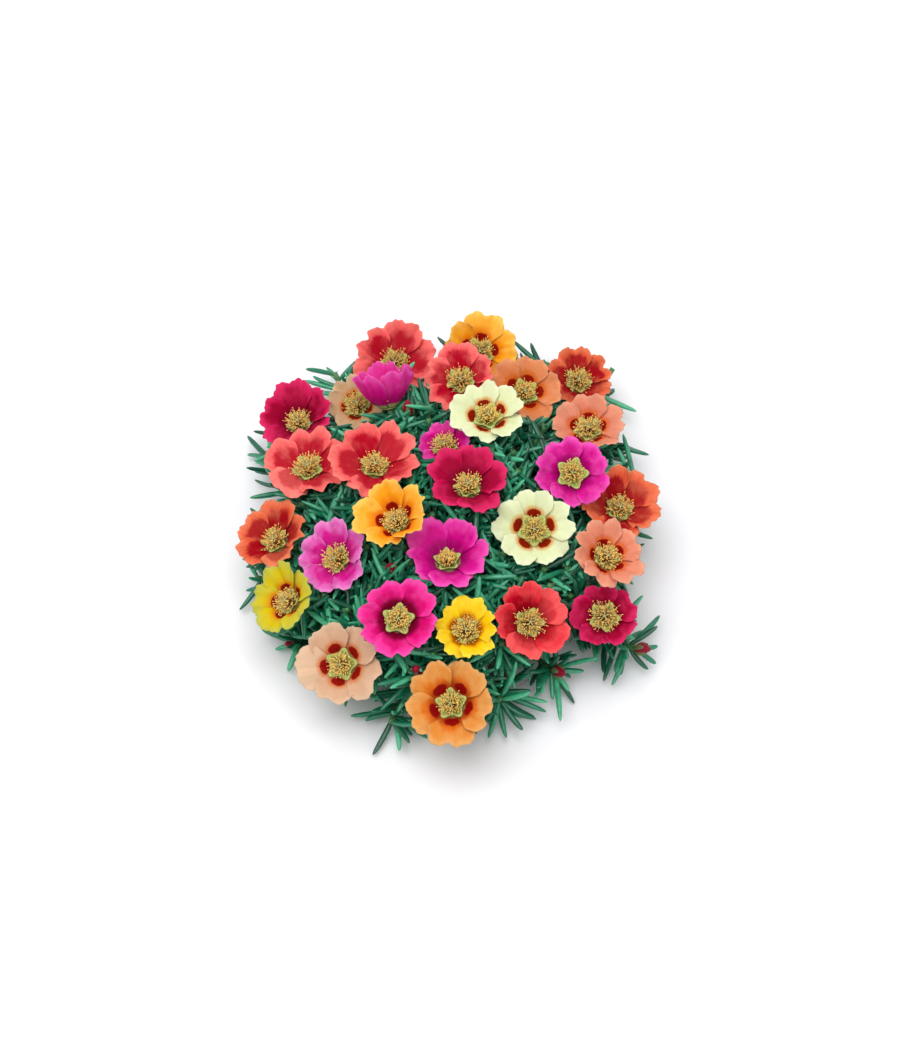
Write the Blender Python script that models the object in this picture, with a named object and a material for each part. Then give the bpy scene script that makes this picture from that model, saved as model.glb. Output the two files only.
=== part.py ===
# Portulaca, a low mound of moss rose in flower, lifted whole and cut off at ground level.
# Metres, +Z up, the viewer's side is -Y. The plant rests on the surface z = 0.
import math
import random

import bmesh
import bpy
import numpy as np
from mathutils import Vector

MM = 0.001

# Mound that the flowers sit on, mm
MOUND_LOW = 24.0
MOUND_RISE = 34.0
MOUND_HALF_WIDTH = 98.0
MOUND_HALF_DEPTH = 118.0
MOUND_BACK_SLOPE = 0.03
PLAN_SHIFT = (0.6, -2.9)

# Flowers: name, across, back, lift off the mound (mm), facing right, facing back, width (mm),
# how closed the cup is (0 flat to 1 closed), turn about the stalk (degrees), petal colour
FLOWERS = [
    ("coral_back_left", -29, 108.5, -4.5, 0.00, -0.29, 46, 0.30, 0, "coral"),
    ("golden_back", 15, 112, 0.5, 0.08, -0.36, 42, 0.25, 10, "golden"),
    ("coral_back", 6, 83, 0.0, -0.12, -0.18, 40, 0.35, 20, "coral"),
    ("apricot_back_right", 38, 83, -5.0, 0.12, -0.20, 40, 0.30, 5, "apricot"),
    ("flame_back_right", 67, 99, 0.0, 0.08, -0.16, 38, 0.40, 30, "flame"),
    ("salmon_right", 71, 59, 0.0, -0.06, -0.05, 39, 0.35, 12, "salmon"),
    ("cream_back", 19, 52, 3.0, 0.00, -0.05, 40, 0.25, 33, "cream"),
    ("magenta_side", -31, 66, 1.0, -0.20, 0.66, 29, 1.00, 26, "magenta"),
    ("buff_left", -47, 77, -8.0, -0.22, -0.09, 35, 0.35, 40, "buff"),
    ("crimson_left", -77.5, 67, 0.5, -0.16, -0.07, 42, 0.55, 25, "crimson"),
    ("coral_left", -71, 29, 2.5, -0.12, 0.07, 47, 0.20, 14, "coral"),
    ("coral_middle_left", -38, 23, 0.0, 0.08, 0.01, 48, 0.35, 50, "coral"),
    ("magenta_small", -2, 39, -8.5, -0.15, -0.05, 27, 0.60, 22, "magenta"),
    ("crimson_middle", 9, 7, 0.0, -0.04, 0.03, 43, 0.45, 3, "crimson"),
    ("golden_middle", -25, -16, 8.0, -0.30, -0.11, 40, 0.60, 28, "golden"),
    ("purple_star", 61, 22, 5.5, 0.00, -0.37, 39, 0.20, 36, "purple"),
    ("flame_right", 84.5, 11, -0.5, 0.14, -0.05, 44, 0.40, 44, "flame"),
    ("cream_front", 41.5, -12, -0.5, -0.02, -0.38, 43, 0.15, 18, "cream"),
    ("salmon_front_right", 76, -26, 10.5, 0.20, -0.13, 38, 0.50, 31, "salmon"),
    ("flame_left", -86, -7, -1.0, -0.32, -0.04, 41, 0.45, 2, "flame"),
    ("pink_left", -54, -26, 0.0, -0.38, -0.27, 39, 0.40, 15, "pink"),
    ("magenta_middle", -1, -32, -3.0, -0.05, 0.03, 44, 0.45, 60, "purple"),
    ("lemon_left", -77, -46, 6.5, -0.55, -0.11, 38, 0.50, 20, "lemon"),
    ("hot_pink_front", -25, -65, 10.0, 0.04, -0.37, 42, 0.25, 48, "hot_pink"),
    ("yellow_front", 7.5, -68, 1.5, 0.02, -0.18, 33, 0.50, 9, "yellow"),
    ("scarlet_front", 38, -58, -4.5, 0.16, -0.36, 41, 0.35, 41, "scarlet"),
    ("crimson_front_right", 76, -50, 0.5, -0.05, -0.33, 36, 0.30, 26, "crimson"),
    ("peach_front_left", -51.5, -77, 0.0, -0.24, -0.46, 44, 0.20, 35, "peach"),
    ("orange_front", 1.5, -99, 0.0, -0.20, -0.35, 46, 0.25, 52, "orange"),
]

PETAL_COLOURS = {
    "coral": (0.72, 0.045, 0.075),
    "golden": (0.90, 0.36, 0.03),
    "apricot": (0.80, 0.27, 0.08),
    "flame": (0.70, 0.06, 0.04),
    "salmon": (0.78, 0.25, 0.17),
    "cream": (0.80, 0.76, 0.46),
    "magenta": (0.62, 0.004, 0.17),
    "buff": (0.60, 0.38, 0.20),
    "crimson": (0.50, 0.004, 0.05),
    "purple": (0.62, 0.006, 0.25),
    "pink": (0.62, 0.03, 0.28),
    "lemon": (0.70, 0.50, 0.02),
    "hot_pink": (0.75, 0.006, 0.20),
    "yellow": (0.92, 0.55, 0.01),
    "scarlet": (0.55, 0.006, 0.02),
    "peach": (0.86, 0.42, 0.29),
    "orange": (0.90, 0.28, 0.03),
}
CENTRE_COLOUR = (0.72, 0.50, 0.12)
LEAF_COLOUR = (0.03, 0.22, 0.10)

# Corolla, mm
PETALS = 5
PLATE_RADIUS = 3.8
PLATE_HALF = 0.55
PETAL_HALF = 0.33
ROOT_SHARE = 0.70
ROWS = (0.30, 0.68, 1.0)
ROW_SHARES = (0.96, 1.26, 1.16)
ROW_OVERLAPS = (0.42, 0.85, 0.95)
ROW_COLUMNS = (3, 5, 5)
TIP_NOTCH = 0.13
TIP_SHOULDER = 0.30
RUFFLE = 0.75
PETAL_VARIES = 0.10
OPEN_ROOT = 40.0
BOWL_ROOT = 38.0
BOWL_RIM = 90.0
TOUCH_GAP = 0.3

# Flower centre, mm
CENTRE_SIDES = 10
CENTRE_BASE = 2.1
STAR_RADIUS = 8.4
STAR_HEIGHT = 6.0
STAR_NOTCH = 2.0
STAR_DIP = 1.3
STAR_CLEAR = 2.2
TUFT_RADIUS = 4.2
TUFT_FOOT = 4.7
TUFT_HEIGHT = 7.6

# Stems and leaves, mm
CROWN_RADIUS = 7.0
CROWN_HEIGHT = 9.0
BRANCHES = 8
BRANCH_REACH = 74.0
BRANCH_RADIUS = 2.1
BRANCH_LIE = 1.7
BRANCH_STEPS = (2.0, 18.0, 36.0, 56.0, 74.0)
SHOOT_RADIUS = 1.55
SHOOT_RINGS = 4
LEAF_LENGTH = 21.0
LEAF_RADIUS = 1.75
LEAF_SIDES = 3
LEAF_ROOT = 0.7
LEAF_SHORT = 14.0
LEAF_CLEAR = 1.0
LEAF_APART = 4.2
LEAF_STEPS = (0.3, 0.5, 0.7, 0.85, 1.0)
LEAF_TRIES = 12
FLOWER_LEAVES = 3
OUTER_LEAN = 1.14
OUTER_BELOW = 30
INNER_LEAN = 0.25
BUD_RADIUS = 3.1
BUD_LENGTH = 9.5
BUD_SIDES = 5

# Leafy shoots without an open flower: across, back, height of the tip (mm), leaves, bud at the tip
LEAFY_SHOOTS = [
    (93, -57, 13, 6, True),
    (-76, -51, 8, 5, True),
    (25, -87, 14, 4, False),
    (-52, 93, 14, 4, False),
    (-4, 101, 18, 4, False),
    (40, 96, 18, 4, False),
    (82, 68, 15, 4, False),
    (85, 34, 14, 4, False),
    (84, -5, 12, 4, False),
    (-87, 40, 14, 4, False),
    (-88, 13, 13, 4, False),
    (-29, -97, 10, 4, False),
    (52, -70, 14, 4, True),
    (-58, -56, 14, 4, False),
    (-28, -34, 49, 3, True),
    (2, -46, 49, 3, False),
    (26, -43, 47, 3, False),
    (32, 36, 51, 3, False),
    (-21, 61, 48, 3, True),
    (-60, 3, 43, 3, False),
    (-16, -83, 35, 4, True),
    (25, -69, 39, 3, False),
    (68, -34, 35, 3, False),
]


def mound(x, y):
    """Height of the mound over the ground at a place."""
    fall = (x / MOUND_HALF_WIDTH) ** 2 + (y / MOUND_HALF_DEPTH) ** 2
    return MOUND_LOW + MOUND_RISE * (1.0 - fall) + MOUND_BACK_SLOPE * y


def flower_frame(flower):
    """Seat of a flower and its three directions: the stalk's axis and two across it."""
    x, y, lift, right, back = flower[1:6]
    axis = Vector((right, back, math.sqrt(1.0 - right * right - back * back)))
    across = Vector((0.0, 1.0, 0.0)).cross(axis).normalized()
    return Vector((x, y, mound(x, y) + lift)), axis, across, axis.cross(across)


def corolla_profile(flower, t):
    """Radius, height and slope of the petals at share t of their length, an arc.

    Open flowers flatten outward; a flower that isn't fully open is a bowl that steepens.
    """
    width, cup = flower[6], flower[7]
    low = math.radians(OPEN_ROOT + 30.0 * cup)
    high = math.radians(45.0 * cup)
    if cup >= 1.0:
        low = math.radians(BOWL_ROOT)
        high = math.radians(BOWL_RIM)
    bend = high - low
    length = (width / 2.0 - PLATE_RADIUS) * bend / (math.sin(high) - math.sin(low))
    radius = PLATE_RADIUS + length * (math.sin(low + bend * t) - math.sin(low)) / bend
    height = length * (math.cos(low) - math.cos(low + bend * t)) / bend
    slope = low + bend * t
    return radius, height, slope


def ruffle(flower, angle, t):
    """Rise of the wavy petals, which grows toward the rim."""
    seed = flower[1] * 0.37 + flower[2] * 0.11
    wave = 1.3 * math.sin(2.0 * angle + 1.3 * seed) + math.sin(5.0 * angle + seed)
    wave += 0.6 * math.sin(11.0 * angle + 1.7 * seed)
    return RUFFLE * wave * t * t


def petal_point(flower, petal, s, t, share, overlap):
    """Middle surface of a petal: s runs -0.5 to 0.5 across it, t from root to rim.

    One edge of each petal passes over its neighbour and the other passes under, so the
    middle surface is raised on one side and lowered on the other.
    """
    sector = 2.0 * math.pi / PETALS
    angle = math.radians(flower[8]) + petal * sector + s * sector * share
    radius, height, slope = corolla_profile(flower, t)
    lift = -2.0 * s * overlap + ruffle(flower, angle, t)
    radius -= lift * math.sin(slope)
    height += lift * math.cos(slope)
    normal = (-math.sin(slope), math.cos(slope))
    return angle, radius, height, normal


def new_object(name, verts, faces, colour):
    """Mesh object from points in mm, with its own plain material."""
    mesh = bpy.data.meshes.new(name)
    shifted = [((v[0] + PLAN_SHIFT[0]) * MM, (v[1] + PLAN_SHIFT[1]) * MM, v[2] * MM) for v in verts]
    mesh.from_pydata(shifted, [], faces)
    bm = bmesh.new()
    bm.from_mesh(mesh)
    bmesh.ops.triangulate(bm, faces=[f for f in bm.faces if len(f.verts) > 4])
    bmesh.ops.recalc_face_normals(bm, faces=bm.faces)
    bm.to_mesh(mesh)
    bm.free()
    obj = bpy.data.objects.new(name, mesh)
    bpy.context.scene.collection.objects.link(obj)
    material = bpy.data.materials.new(name)
    material.use_nodes = True
    shader = material.node_tree.nodes["Principled BSDF"]
    shader.inputs["Base Color"].default_value = (*colour, 1.0)
    shader.inputs["Roughness"].default_value = 0.5
    shader.inputs["Metallic"].default_value = 0.0
    mesh.materials.append(material)
    return obj


def petal_length(flower, petal):
    """Length of one petal as a share of the longest; the petals of a flower differ a little."""
    seed = flower[1] * 0.53 + flower[2] * 0.29
    return 1.0 - PETAL_VARIES * (0.5 + 0.5 * math.sin(2.3 * petal + seed))


def tip_share(s):
    """How far out the rim lies at s: round shoulders and a notch in the middle."""
    return 1.0 - TIP_SHOULDER * abs(2.0 * s) ** 3.2 - TIP_NOTCH * math.exp(-((s / 0.11) ** 2))


def corolla(flower):
    """One closed solid: a small plate on the stalk's tip with five overlapping petals."""
    seat, axis, across, up = flower_frame(flower)
    verts = []
    faces = []

    def place(angle, radius, height):
        out = across * math.cos(angle) + up * math.sin(angle)
        verts.append(seat + out * radius + axis * height)
        return len(verts) - 1

    def pair(angle, radius, height, normal, half):
        """A point on the upper face and its partner on the lower face."""
        over = place(angle, radius + normal[0] * half, height + normal[1] * half)
        under = place(angle, radius - normal[0] * half, height - normal[1] * half)
        return over, under

    sector = 2.0 * math.pi / PETALS
    middle = pair(0.0, 0.0, 0.0, (0.0, 1.0), PLATE_HALF)
    ring = []
    for petal in range(PETALS):
        for s in (-0.5, 0.5):
            angle = math.radians(flower[8]) + petal * sector + s * sector * ROOT_SHARE
            ring.append(pair(angle, PLATE_RADIUS, 0.0, (0.0, 1.0), PLATE_HALF))
    count = len(ring)
    for k in range(count):
        a, b = ring[k], ring[(k + 1) % count]
        faces.append((middle[0], a[0], b[0]))
        faces.append((middle[1], b[1], a[1]))
        if k % 2 == 1:
            faces.append((a[0], a[1], b[1]))
            faces.append((a[0], b[1], b[0]))
    for petal in range(PETALS):
        rows = [[ring[2 * petal], ring[2 * petal + 1]]]
        longest = petal_length(flower, petal)
        for t, share, overlap, columns in zip(ROWS, ROW_SHARES, ROW_OVERLAPS, ROW_COLUMNS):
            row = []
            for k in range(columns):
                s = k / (columns - 1) - 0.5
                reach = t * (1.0 - (1.0 - tip_share(s) * longest) * t ** 1.5)
                spot = petal_point(flower, petal, s, reach, share, overlap)
                row.append(pair(*spot, PETAL_HALF))
            rows.append(row)
        for near, far in zip(rows, rows[1:]):
            for a, b, c in fan_rows(near, far):
                faces.append((a[0], b[0], c[0]))
                faces.append((a[1], c[1], b[1]))
        rim = [row[0] for row in rows] + rows[3][1:-1] + [row[-1] for row in reversed(rows)]
        for a, b in zip(rim, rim[1:]):
            faces.append((a[0], a[1], b[1]))
            faces.append((a[0], b[1], b[0]))
    return verts, faces


def fan_rows(near, far):
    """Triangles between two rows of points, taken in step along both."""
    patches = []
    i, j = 0, 0
    while i < len(near) - 1 or j < len(far) - 1:
        ahead_near = (i + 1) / (len(near) - 1) if i < len(near) - 1 else 9.0
        ahead_far = (j + 1) / (len(far) - 1) if j < len(far) - 1 else 9.0
        if ahead_far <= ahead_near:
            patches.append((near[i], far[j], far[j + 1]))
            j += 1
        else:
            patches.append((near[i], far[j], near[i + 1]))
            i += 1
    return patches


def centre(flower):
    """One closed solid: the five-pointed green cup with the tuft of stamens standing in it."""
    seat, axis, across, up = flower_frame(flower)
    base = PLATE_HALF + TOUCH_GAP
    star = STAR_RADIUS
    while star > CENTRE_BASE + 1.0 and petal_height(flower, star) > STAR_HEIGHT - STAR_CLEAR:
        star -= 0.1
    tuft = min(TUFT_RADIUS, star - 1.6 * STAR_NOTCH)
    rings = [
        (CENTRE_BASE, CENTRE_BASE, base, base),
        (star, star - STAR_NOTCH, STAR_HEIGHT, STAR_HEIGHT - STAR_DIP),
        (tuft, tuft, TUFT_FOOT, TUFT_FOOT),
        (tuft - 0.5, tuft - 1.3, TUFT_HEIGHT - 0.6, TUFT_HEIGHT + 0.4),
    ]
    verts = []
    faces = []
    for point_radius, notch_radius, point_height, notch_height in rings:
        for k in range(CENTRE_SIDES):
            angle = math.radians(flower[8] + 36.0) + k * 2.0 * math.pi / CENTRE_SIDES
            radius = point_radius if k % 2 == 0 else notch_radius
            height = point_height if k % 2 == 0 else notch_height
            out = across * math.cos(angle) + up * math.sin(angle)
            verts.append(seat + out * radius + axis * height)
    low = len(verts)
    verts.append(seat + axis * base)
    verts.append(seat + axis * (TUFT_HEIGHT + 1.0))
    for k in range(CENTRE_SIDES):
        n = (k + 1) % CENTRE_SIDES
        faces.append((low, n, k))
        last = (len(rings) - 1) * CENTRE_SIDES
        faces.append((low + 1, last + k, last + n))
        for ring in range(len(rings) - 1):
            a = ring * CENTRE_SIDES
            b = a + CENTRE_SIDES
            faces.append((a + k, a + n, b + n))
            faces.append((a + k, b + n, b + k))
    return verts, faces


def petal_height(flower, radius):
    """Height of the petals' middle surface at a distance from the axis."""
    low, high = 0.0, 1.0
    for _ in range(20):
        t = (low + high) / 2.0
        if corolla_profile(flower, t)[0] < radius:
            low = t
        else:
            high = t
    return corolla_profile(flower, low)[1]


def clear_of_flowers(point, margin):
    """True where a point lies outside every corolla and the cup that it holds."""
    for flower in FLOWERS:
        seat, axis = flower_frame(flower)[:2]
        offset = point - seat
        height = offset.dot(axis)
        radius = (offset - axis * height).length
        if radius > flower[6] / 2.0 + margin or height > 22.0:
            continue
        surface = petal_height(flower, radius) if radius > PLATE_RADIUS else 0.0
        if height > surface - PETAL_HALF - 1.1 - margin:
            return False
    return True


def branch_point(index, reach):
    """Middle line of a main branch: out of the crown, over, and down to lie on the ground."""
    angle = 2.0 * math.pi * (index + 0.5) / BRANCHES
    share = reach / BRANCH_REACH
    height = BRANCH_LIE + 5.5 * math.sin(math.pi * min(share, 0.8) / 0.8)
    return Vector((math.cos(angle) * reach, math.sin(angle) * reach, height))


def nearest_branch(x, y):
    """The main branch whose direction is closest to a place."""
    turn = math.atan2(y, x) / (2.0 * math.pi) * BRANCHES - 0.5
    return round(turn) % BRANCHES


def shoot_curve(tip, axis, steps):
    """Points up a shoot, a cubic curve from its branch to its tip."""
    reach = min(math.hypot(tip.x, tip.y) * 0.45, BRANCH_REACH * 0.62)
    start = branch_point(nearest_branch(tip.x, tip.y), reach)
    rise = (tip - start).length
    first = start + Vector(((tip.x - start.x) * 0.35, (tip.y - start.y) * 0.35, rise * 0.12))
    second = tip - axis * rise * 0.42
    second.z = max(second.z, 3.0)
    points = []
    for i in range(steps + 1):
        t = i / steps
        u = 1.0 - t
        points.append(start * u ** 3 + first * 3 * u * u * t + second * 3 * u * t * t + tip * t ** 3)
    return points


def tube(points, radii, sides, spin=0.0, end=None):
    """Closed tube along points, cut square to end; nothing of it goes below the ground."""
    verts = []
    faces = []
    side = Vector((0.0, 0.0, 1.0)).cross(points[-1] - points[0])
    if side.length < 0.5:
        side = Vector((1.0, 0.0, 0.0))
    for i, point in enumerate(points):
        ahead = points[min(i + 1, len(points) - 1)] - points[max(i - 1, 0)]
        if end and i == len(points) - 1:
            ahead = end.copy()
        ahead.normalize()
        side = (side - ahead * side.dot(ahead)).normalized()
        over = ahead.cross(side)
        for k in range(sides):
            angle = spin + 2.0 * math.pi * k / sides
            spot = point + (side * math.cos(angle) + over * math.sin(angle)) * radii[i]
            spot.z = max(spot.z, 0.0)
            verts.append(spot)
    rings = len(points)
    for i in range(rings - 1):
        for k in range(sides):
            a = i * sides + k
            b = i * sides + (k + 1) % sides
            faces.append((a, b, b + sides))
            faces.append((a, b + sides, a + sides))
    faces.append(tuple(reversed(range(sides))))
    faces.append(tuple((rings - 1) * sides + k for k in range(sides)))
    return verts, faces


def leaf_bow(along, bow, share):
    """How far a leaf has bent upward at a share of its length."""
    return along * share + Vector((0.0, 0.0, bow * share * share))


def leaf(root, along, bow):
    """Fleshy leaf: a three-sided spindle, sunk in its stem, that bows upward to a blunt point."""
    points = [root, root + leaf_bow(along, bow, 0.5), root + leaf_bow(along, bow, 1.0)]
    scale = min(1.0, along.length / LEAF_SHORT)
    radii = [LEAF_ROOT, LEAF_RADIUS * 1.15 * scale]
    verts, faces = tube(points[:2], radii, LEAF_SIDES, math.pi / 2.0)
    faces.pop()
    verts.append(Vector((points[2].x, points[2].y, max(points[2].z, 0.3))))
    for k in range(LEAF_SIDES):
        faces.append((LEAF_SIDES + k, LEAF_SIDES + (k + 1) % LEAF_SIDES, 2 * LEAF_SIDES))
    return verts, faces


def shoot_leaves(points, count, seed, start_share, taken, owner):
    """Roots, directions and bows of the leaves up one shoot, spiralled and crowding to the tip.

    A leaf is kept where all of it is clear of the flowers, of other leaves and other stems.
    """
    draw = random.Random(seed)
    kept = []
    turn = draw.uniform(0.0, 2.0 * math.pi)
    for k in range(count * LEAF_TRIES):
        share = start_share + (1.0 - start_share) * ((k % count) + draw.random()) / count
        share = 0.97 * share ** 0.8
        place = share * (len(points) - 1)
        i = min(int(place), len(points) - 2)
        root = points[i].lerp(points[i + 1], place - i)
        ahead = (points[i + 1] - points[i]).normalized()
        turn += math.radians(137.5)
        side = ahead.orthogonal().normalized()
        over = ahead.cross(side)
        out = side * math.cos(turn) + over * math.sin(turn)
        tilt = draw.uniform(0.15, 0.65)
        length = LEAF_LENGTH * draw.uniform(0.75, 1.08)
        bow = draw.uniform(0.7, 3.5)
        along = (out + ahead * tilt).normalized() * length
        steps = [root + leaf_bow(along, bow, q) for q in LEAF_STEPS]
        if min(step.z for step in steps) < LEAF_RADIUS * 0.8:
            continue
        if not all(clear_of_flowers(step, LEAF_CLEAR + LEAF_RADIUS) for step in steps):
            continue
        spots = np.array([tuple(step) for step in steps])
        others = np.array([spot for mark, spot in taken if mark != owner])
        gaps = np.linalg.norm(spots[:, None, :] - others[None, :, :], axis=2)
        if gaps.min() < LEAF_APART:
            continue
        kept.append((root, along, bow))
        taken.extend(((owner, "leaf"), tuple(step)) for step in steps)
        if len(kept) == count:
            break
    return kept


def bud(tip, axis):
    """Pointed flower bud on a shoot's tip."""
    points = [tip + axis * BUD_LENGTH * share for share in (-0.16, 0.35, 0.75, 1.0)]
    radii = [BUD_RADIUS * share for share in (0.52, 1.0, 0.72, 0.16)]
    return tube(points, radii, BUD_SIDES)


def dense(points, owner):
    """Marks along a stem's middle line, close together, for the test of what is taken."""
    marks = []
    for near, far in zip(points, points[1:]):
        for q in (0.0, 0.2, 0.4, 0.6, 0.8):
            marks.append((owner, tuple(near.lerp(far, q))))
    marks.append((owner, tuple(points[-1])))
    return marks


def leafy_stem_solids():
    """Every stem, leaf and bud as its own closed solid, before they are joined."""
    solids = []
    crown = [Vector((0.0, 0.0, z)) for z in (0.0, 0.45 * CROWN_HEIGHT, CROWN_HEIGHT)]
    solids.append(tube(crown, [CROWN_RADIUS, CROWN_RADIUS * 0.95, CROWN_RADIUS * 0.55], 8))
    taken = []
    for index in range(BRANCHES):
        points = [branch_point(index, reach) for reach in BRANCH_STEPS]
        radii = [BRANCH_RADIUS] * (len(points) - 1) + [BRANCH_RADIUS * 0.85]
        solids.append(tube(points, radii, 4, math.pi / 4.0))
        taken += dense(points, ("branch", index))
    shoots = []
    for number, flower in enumerate(FLOWERS):
        seat, axis = flower_frame(flower)[:2]
        tip = seat - axis * (PLATE_HALF + TOUCH_GAP)
        shoots.append((tip, axis, SHOOT_RADIUS * 1.2, FLOWER_LEAVES, 0.3, False))
    for x, y, z, count, has_bud in LEAFY_SHOOTS:
        lean = OUTER_LEAN if z < OUTER_BELOW else INNER_LEAN
        axis = (Vector((x, y, 0.0)).normalized() * lean + Vector((0.0, 0.0, 1.0))).normalized()
        shoots.append((Vector((x, y, z)), axis, SHOOT_RADIUS * 0.8, count, 0.45, has_bud))
    curves = [shoot_curve(tip, axis, SHOOT_RINGS - 1) for tip, axis, _, _, _, _ in shoots]
    for number, points in enumerate(curves):
        taken += dense(points, number)
    for number, (tip, axis, end, count, start_share, has_bud) in enumerate(shoots):
        points = curves[number]
        radii = [SHOOT_RADIUS * 1.15] + [SHOOT_RADIUS] * (SHOOT_RINGS - 2) + [end]
        solids.append(tube(points, radii, 4, math.pi / 4.0, axis))
        if has_bud:
            solids.append(bud(tip, axis))
        for root, along, bow in shoot_leaves(points, count, 100 + number, start_share, taken, number):
            solids.append(leaf(root, along, bow))
    return solids


def leafy_stems():
    """Crown, branches, shoots, leaves and buds joined into one body."""
    group = bpy.data.collections.new("stems_and_leaves")
    bpy.context.scene.collection.children.link(group)
    solids = leafy_stem_solids()
    base = new_object("leafy_stems", *solids[0], LEAF_COLOUR)
    for number, (verts, faces) in enumerate(solids[1:]):
        piece = new_object("stem_part_%03d" % number, verts, faces, LEAF_COLOUR)
        bpy.context.scene.collection.objects.unlink(piece)
        group.objects.link(piece)
    union = base.modifiers.new("join", "BOOLEAN")
    union.operation = "UNION"
    union.operand_type = "COLLECTION"
    union.collection = group
    union.solver = "MANIFOLD"
    graph = bpy.context.evaluated_depsgraph_get()
    joined = bpy.data.meshes.new_from_object(base.evaluated_get(graph))
    base.modifiers.remove(union)
    base.data = joined
    for piece in list(group.objects):
        bpy.data.objects.remove(piece)
    bpy.data.collections.remove(group)
    keep = base.data.materials[0]
    base.data.materials.clear()
    base.data.materials.append(keep)
    bm = bmesh.new()
    bm.from_mesh(base.data)
    bmesh.ops.triangulate(bm, faces=bm.faces)
    for face in bm.faces:
        face.material_index = 0
    bm.to_mesh(base.data)
    bm.free()
    return base


for old in list(bpy.data.objects):
    bpy.data.objects.remove(old)

for number, flower in enumerate(FLOWERS):
    label = "bloom_%02d_%s" % (number + 1, flower[0])
    new_object(label + "_petals", *corolla(flower), PETAL_COLOURS[flower[9]])
    new_object(label + "_centre", *centre(flower), CENTRE_COLOUR)
leafy_stems()
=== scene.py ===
import math
import random

import bpy
import numpy as np
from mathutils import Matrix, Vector


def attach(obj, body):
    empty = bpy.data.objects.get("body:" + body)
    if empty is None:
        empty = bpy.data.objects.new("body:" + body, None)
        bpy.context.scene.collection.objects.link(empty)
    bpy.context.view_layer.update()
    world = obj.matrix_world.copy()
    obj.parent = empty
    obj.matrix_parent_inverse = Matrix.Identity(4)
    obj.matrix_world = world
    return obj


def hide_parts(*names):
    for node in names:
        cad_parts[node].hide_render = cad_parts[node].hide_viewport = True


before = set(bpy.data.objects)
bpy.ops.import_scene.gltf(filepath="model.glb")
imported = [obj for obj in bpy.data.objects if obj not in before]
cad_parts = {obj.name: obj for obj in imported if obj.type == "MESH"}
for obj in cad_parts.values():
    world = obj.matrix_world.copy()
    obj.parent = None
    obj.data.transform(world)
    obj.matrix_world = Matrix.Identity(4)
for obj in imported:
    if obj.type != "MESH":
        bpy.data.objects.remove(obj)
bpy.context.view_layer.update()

# Corollas
# Each flower has five broad silky petals, notched at the tip, that overlap in a ring and join
# at the stalk. They are thin shells grown from one small plate, with ruffled rims.

FLOWERS = [
    # name, across, back, lift off the mound, facing right, facing back, width, cup, turn, colour
    ("coral_back_left", -29, 108.5, -4.5, 0.00, -0.29, 46, 0.30, 0, "coral"),
    ("golden_back", 15, 112, 0.5, 0.08, -0.36, 42, 0.25, 10, "golden"),
    ("coral_back", 6, 83, 0.0, -0.12, -0.18, 40, 0.35, 20, "coral"),
    ("apricot_back_right", 38, 83, -5.0, 0.12, -0.20, 40, 0.30, 5, "apricot"),
    ("flame_back_right", 67, 99, 0.0, 0.08, -0.16, 38, 0.40, 30, "flame"),
    ("salmon_right", 71, 59, 0.0, -0.06, -0.05, 39, 0.35, 12, "salmon"),
    ("cream_back", 19, 52, 3.0, 0.00, -0.05, 40, 0.25, 33, "cream"),
    ("magenta_side", -31, 66, 1.0, -0.20, 0.66, 29, 1.00, 26, "magenta"),
    ("buff_left", -47, 77, -8.0, -0.22, -0.09, 35, 0.35, 40, "buff"),
    ("crimson_left", -77.5, 67, 0.5, -0.16, -0.07, 42, 0.55, 25, "crimson"),
    ("coral_left", -71, 29, 2.5, -0.12, 0.07, 47, 0.20, 14, "coral"),
    ("coral_middle_left", -38, 23, 0.0, 0.08, 0.01, 48, 0.35, 50, "coral"),
    ("magenta_small", -2, 39, -8.5, -0.15, -0.05, 27, 0.60, 22, "magenta"),
    ("crimson_middle", 9, 7, 0.0, -0.04, 0.03, 43, 0.45, 3, "crimson"),
    ("golden_middle", -25, -16, 8.0, -0.30, -0.11, 40, 0.60, 28, "golden"),
    ("purple_star", 61, 22, 5.5, 0.00, -0.37, 39, 0.20, 36, "purple"),
    ("flame_right", 84.5, 11, -0.5, 0.14, -0.05, 44, 0.40, 44, "flame"),
    ("cream_front", 41.5, -12, -0.5, -0.02, -0.38, 43, 0.15, 18, "cream"),
    ("salmon_front_right", 76, -26, 10.5, 0.20, -0.13, 38, 0.50, 31, "salmon"),
    ("flame_left", -86, -7, -1.0, -0.32, -0.04, 41, 0.45, 2, "flame"),
    ("pink_left", -54, -26, 0.0, -0.38, -0.27, 39, 0.40, 15, "pink"),
    ("magenta_middle", -1, -32, -3.0, -0.05, 0.03, 44, 0.45, 60, "purple"),
    ("lemon_left", -77, -46, 6.5, -0.55, -0.11, 38, 0.50, 20, "lemon"),
    ("hot_pink_front", -25, -65, 10.0, 0.04, -0.37, 42, 0.25, 48, "hot_pink"),
    ("yellow_front", 7.5, -68, 1.5, 0.02, -0.18, 33, 0.50, 9, "yellow"),
    ("scarlet_front", 38, -58, -4.5, 0.16, -0.36, 41, 0.35, 41, "scarlet"),
    ("crimson_front_right", 76, -50, 0.5, -0.05, -0.33, 36, 0.30, 26, "crimson"),
    ("peach_front_left", -51.5, -77, 0.0, -0.24, -0.46, 44, 0.20, 35, "peach"),
    ("orange_front", 1.5, -99, 0.0, -0.20, -0.35, 46, 0.25, 52, "orange"),
]

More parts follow.
